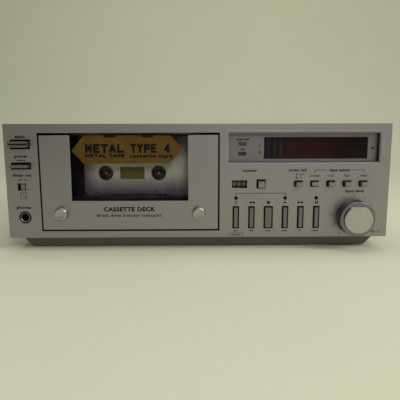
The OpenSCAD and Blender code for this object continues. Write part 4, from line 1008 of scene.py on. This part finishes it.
def cross_head(shape, centre, out, across, r=3.2, h=1.7, steps=32):
    """A pan head with a cross recess, radius r and height h. across is square to its axis, out."""
    bm = bmesh.new()
    domed = [(r, 0.0), (r, h * 0.35), (r * 0.93, h * 0.72), (r * 0.72, h * 0.95), (r * 0.5, h)]
    rings = [[bm.verts.new((x, y, t * MM)) for x, y in circle(0, 0, q * MM, steps)] for q, t in domed]
    for a, b in zip(rings, rings[1:]):
        for i in range(steps):
            bm.faces.new((a[i], a[(i + 1) % steps], b[(i + 1) % steps], b[i]))
    w, arm, deep = 0.28 * MM, r * 0.42 * MM, (h - 0.7) * MM
    star = [(w, w), (w, arm), (-w, arm), (-w, w), (-arm, w), (-arm, -w), (-w, -w), (-w, -arm),
            (w, -arm), (w, -w), (arm, -w), (arm, w)]
    top = [bm.verts.new((x, y, h * MM)) for x, y in star]
    low = [bm.verts.new((x * 0.7, y * 0.7, deep)) for x, y in star]
    for i in range(len(star)):
        j = (i + 1) % len(star)
        bm.faces.new((top[i], top[j], low[j], low[i]))
    bm.faces.new(low)
    edges = [e for e in bm.edges if e.is_boundary and abs(e.verts[0].co.z - h * MM) < 1e-7]
    bmesh.ops.triangle_fill(bm, edges=edges, use_beauty=True)
    bm.faces.new(rings[0][::-1])
    m = Matrix((across, out.cross(across), out)).transposed().to_4x4()
    m.translation = centre
    bm.transform(m)
    shape.take(bm)


SCREW_Z, SCREW_D = 6.6, (28, 210)
s = Shape()
for side in (-1, 1):
    for d in SCREW_D:
        cross_head(s, P(side * COVER_X, d, SCREW_Z), Vector((side, 0, 0)), Vector((0, 1, 0)))
for x in (-130, 0, 130):
    cross_head(s, P(x, REAR_D, 81.9), Vector((0, 1, 0)), Vector((1, 0, 0)))
for side in (-1, 1):
    for d in SCREW_D:
        s.bar(side * (COVER_X - 3), SCREW_Z, 6, 2.4, d - 1.2, d + 1.2)
s.done("cover_screw_heads", "screw", "chassis", "cover_screws", "screw_steel")

# ---------- feet ----------

FOOT_R, FOOT_EDGE = 11, 0.7
(foot_x0, foot_x1), _, (foot_z0, foot_z1) = span("feet")
profile = [(FOOT_R - FOOT_EDGE, foot_z0), (FOOT_R, foot_z0 + 0.4), (FOOT_R, foot_z1)]
s = Shape()
for x in (foot_x0 + FOOT_R, foot_x1 - FOOT_R):
    for d in (34, 214):
        s.skin([[P(px, pd, z) for px, pd in circle(x, d, r, 56)] for r, z in profile])
s.done("rubber_feet", "rubber", "chassis", "feet", "foot_rubber")

# ---------- setting ----------

HALF_WIDTH, FLOOR_FRONT, BEND_Y, BEND_R, WALL_TOP = 3.5, -3.5, 0.5, 0.8, 2.4      # metres
sweep = [(FLOOR_FRONT, 0.0), (BEND_Y, 0.0)]
sweep += [(BEND_Y + BEND_R * sin(radians(t)), BEND_R * (1 - cos(radians(t))))
          for t in range(5, 91, 5)]
sweep.append((BEND_Y + BEND_R, WALL_TOP))
floor = bpy.data.meshes.new("table_top")
floor.from_pydata([(x, y, z) for y, z in sweep for x in (-HALF_WIDTH, HALF_WIDTH)], [],
                  [(2 * i, 2 * i + 1, 2 * i + 3, 2 * i + 2) for i in range(len(sweep) - 1)])
for f in floor.polygons:
    f.use_smooth = True
table = new_object("table_top", floor)
paper_white = (0.80, 0.82, 0.60)
floor.materials.append(finish_of("table_paper", paper_white, 0.85, 0.0, 0.02, 250, depth=4e-5, blotch=6))

# ---------- light ----------

world = bpy.data.worlds.new("studio")
bpy.context.scene.world = world
world.use_nodes = True
sky = world.node_tree
way = sky.nodes.new("ShaderNodeTexCoord")
split = sky.nodes.new("ShaderNodeSeparateXYZ")
shade = sky.nodes.new("ShaderNodeValToRGB")
low_sky, high_sky = shade.color_ramp.elements
low_sky.position, high_sky.position = 0.42, 0.72
low_sky.color = (0.86, 0.88, 0.76, 1)
high_sky.color = (0.50, 0.46, 0.50, 1)
lift = sky.nodes.new("ShaderNodeMapRange")
lift.inputs["From Min"].default_value = -1.0
sky.links.new(way.outputs["Generated"], split.inputs["Vector"])
sky.links.new(split.outputs["Z"], lift.inputs["Value"])
sky.links.new(lift.outputs["Result"], shade.inputs["Fac"])
sky.links.new(shade.outputs["Color"], sky.nodes["Background"].inputs["Color"])
sky.nodes["Background"].inputs["Strength"].default_value = 0.27


def area(name, at, target, size, power, color=(1, 1, 1)):
    """A rectangular lamp at a place in metres, turned towards its target. power is in watts."""
    lamp = bpy.data.lights.new(name, "AREA")
    lamp.shape = "RECTANGLE"
    lamp.size, lamp.size_y = size
    lamp.energy = power
    lamp.color = color
    ob = new_object(name, lamp)
    ob.location = at
    ob.rotation_mode = "QUATERNION"
    ob.rotation_quaternion = (Vector(target) - Vector(at)).to_track_quat("-Z", "Y")


area("key_light", (1.15, -0.75, 0.95), (0, 0, 0.05), (0.6, 0.6), 8.2, (1, 0.99, 0.96))
area("top_light", (0.0, 0.1, 1.5), (0, -0.1, 0), (1.4, 0.8), 6.8)
area("front_light", (0.30, -1.25, 0.80), (0, 0, 0.05), (0.5, 0.4), 4.4)

# ---------- camera ----------

SENSOR, LENS = 36.0, 38.50974                                   # in millimetres
CAMERA_TURN = [radians(v) for v in (8.68, -0.57, -0.23)]   # around x, y and z
PANEL_AHEAD = Vector((-1.017, 29.333, 338.341))    # from the camera to the panel's zero point: right,
                                                   # down and ahead, in millimetres

cam_data = bpy.data.cameras.new("photo_view")
cam = new_object("photo_view", cam_data)
cam_data.sensor_fit = "HORIZONTAL"
cam_data.sensor_width = SENSOR
cam_data.lens = LENS
cam_data.clip_start = 0.01
cam_data.clip_end = 20
turn = Matrix.Identity(3)
for angle, axis in zip(CAMERA_TURN, "XYZ"):
    turn = Matrix.Rotation(angle, 3, axis) @ turn
view = turn @ Matrix(((1, 0, 0), (0, 0, -1), (0, 1, 0)))     # x, depth and z, to right, down and ahead
eye = P(*-(view.transposed() @ PANEL_AHEAD))
turned_view = Matrix((view[0], -view[1], -view[2])).transposed()
cam.matrix_world = Matrix.Translation(eye) @ turned_view.to_4x4()
bpy.context.scene.camera = cam

bpy.context.scene.view_settings.view_transform = "Standard"
bpy.context.scene.view_settings.look = "None"
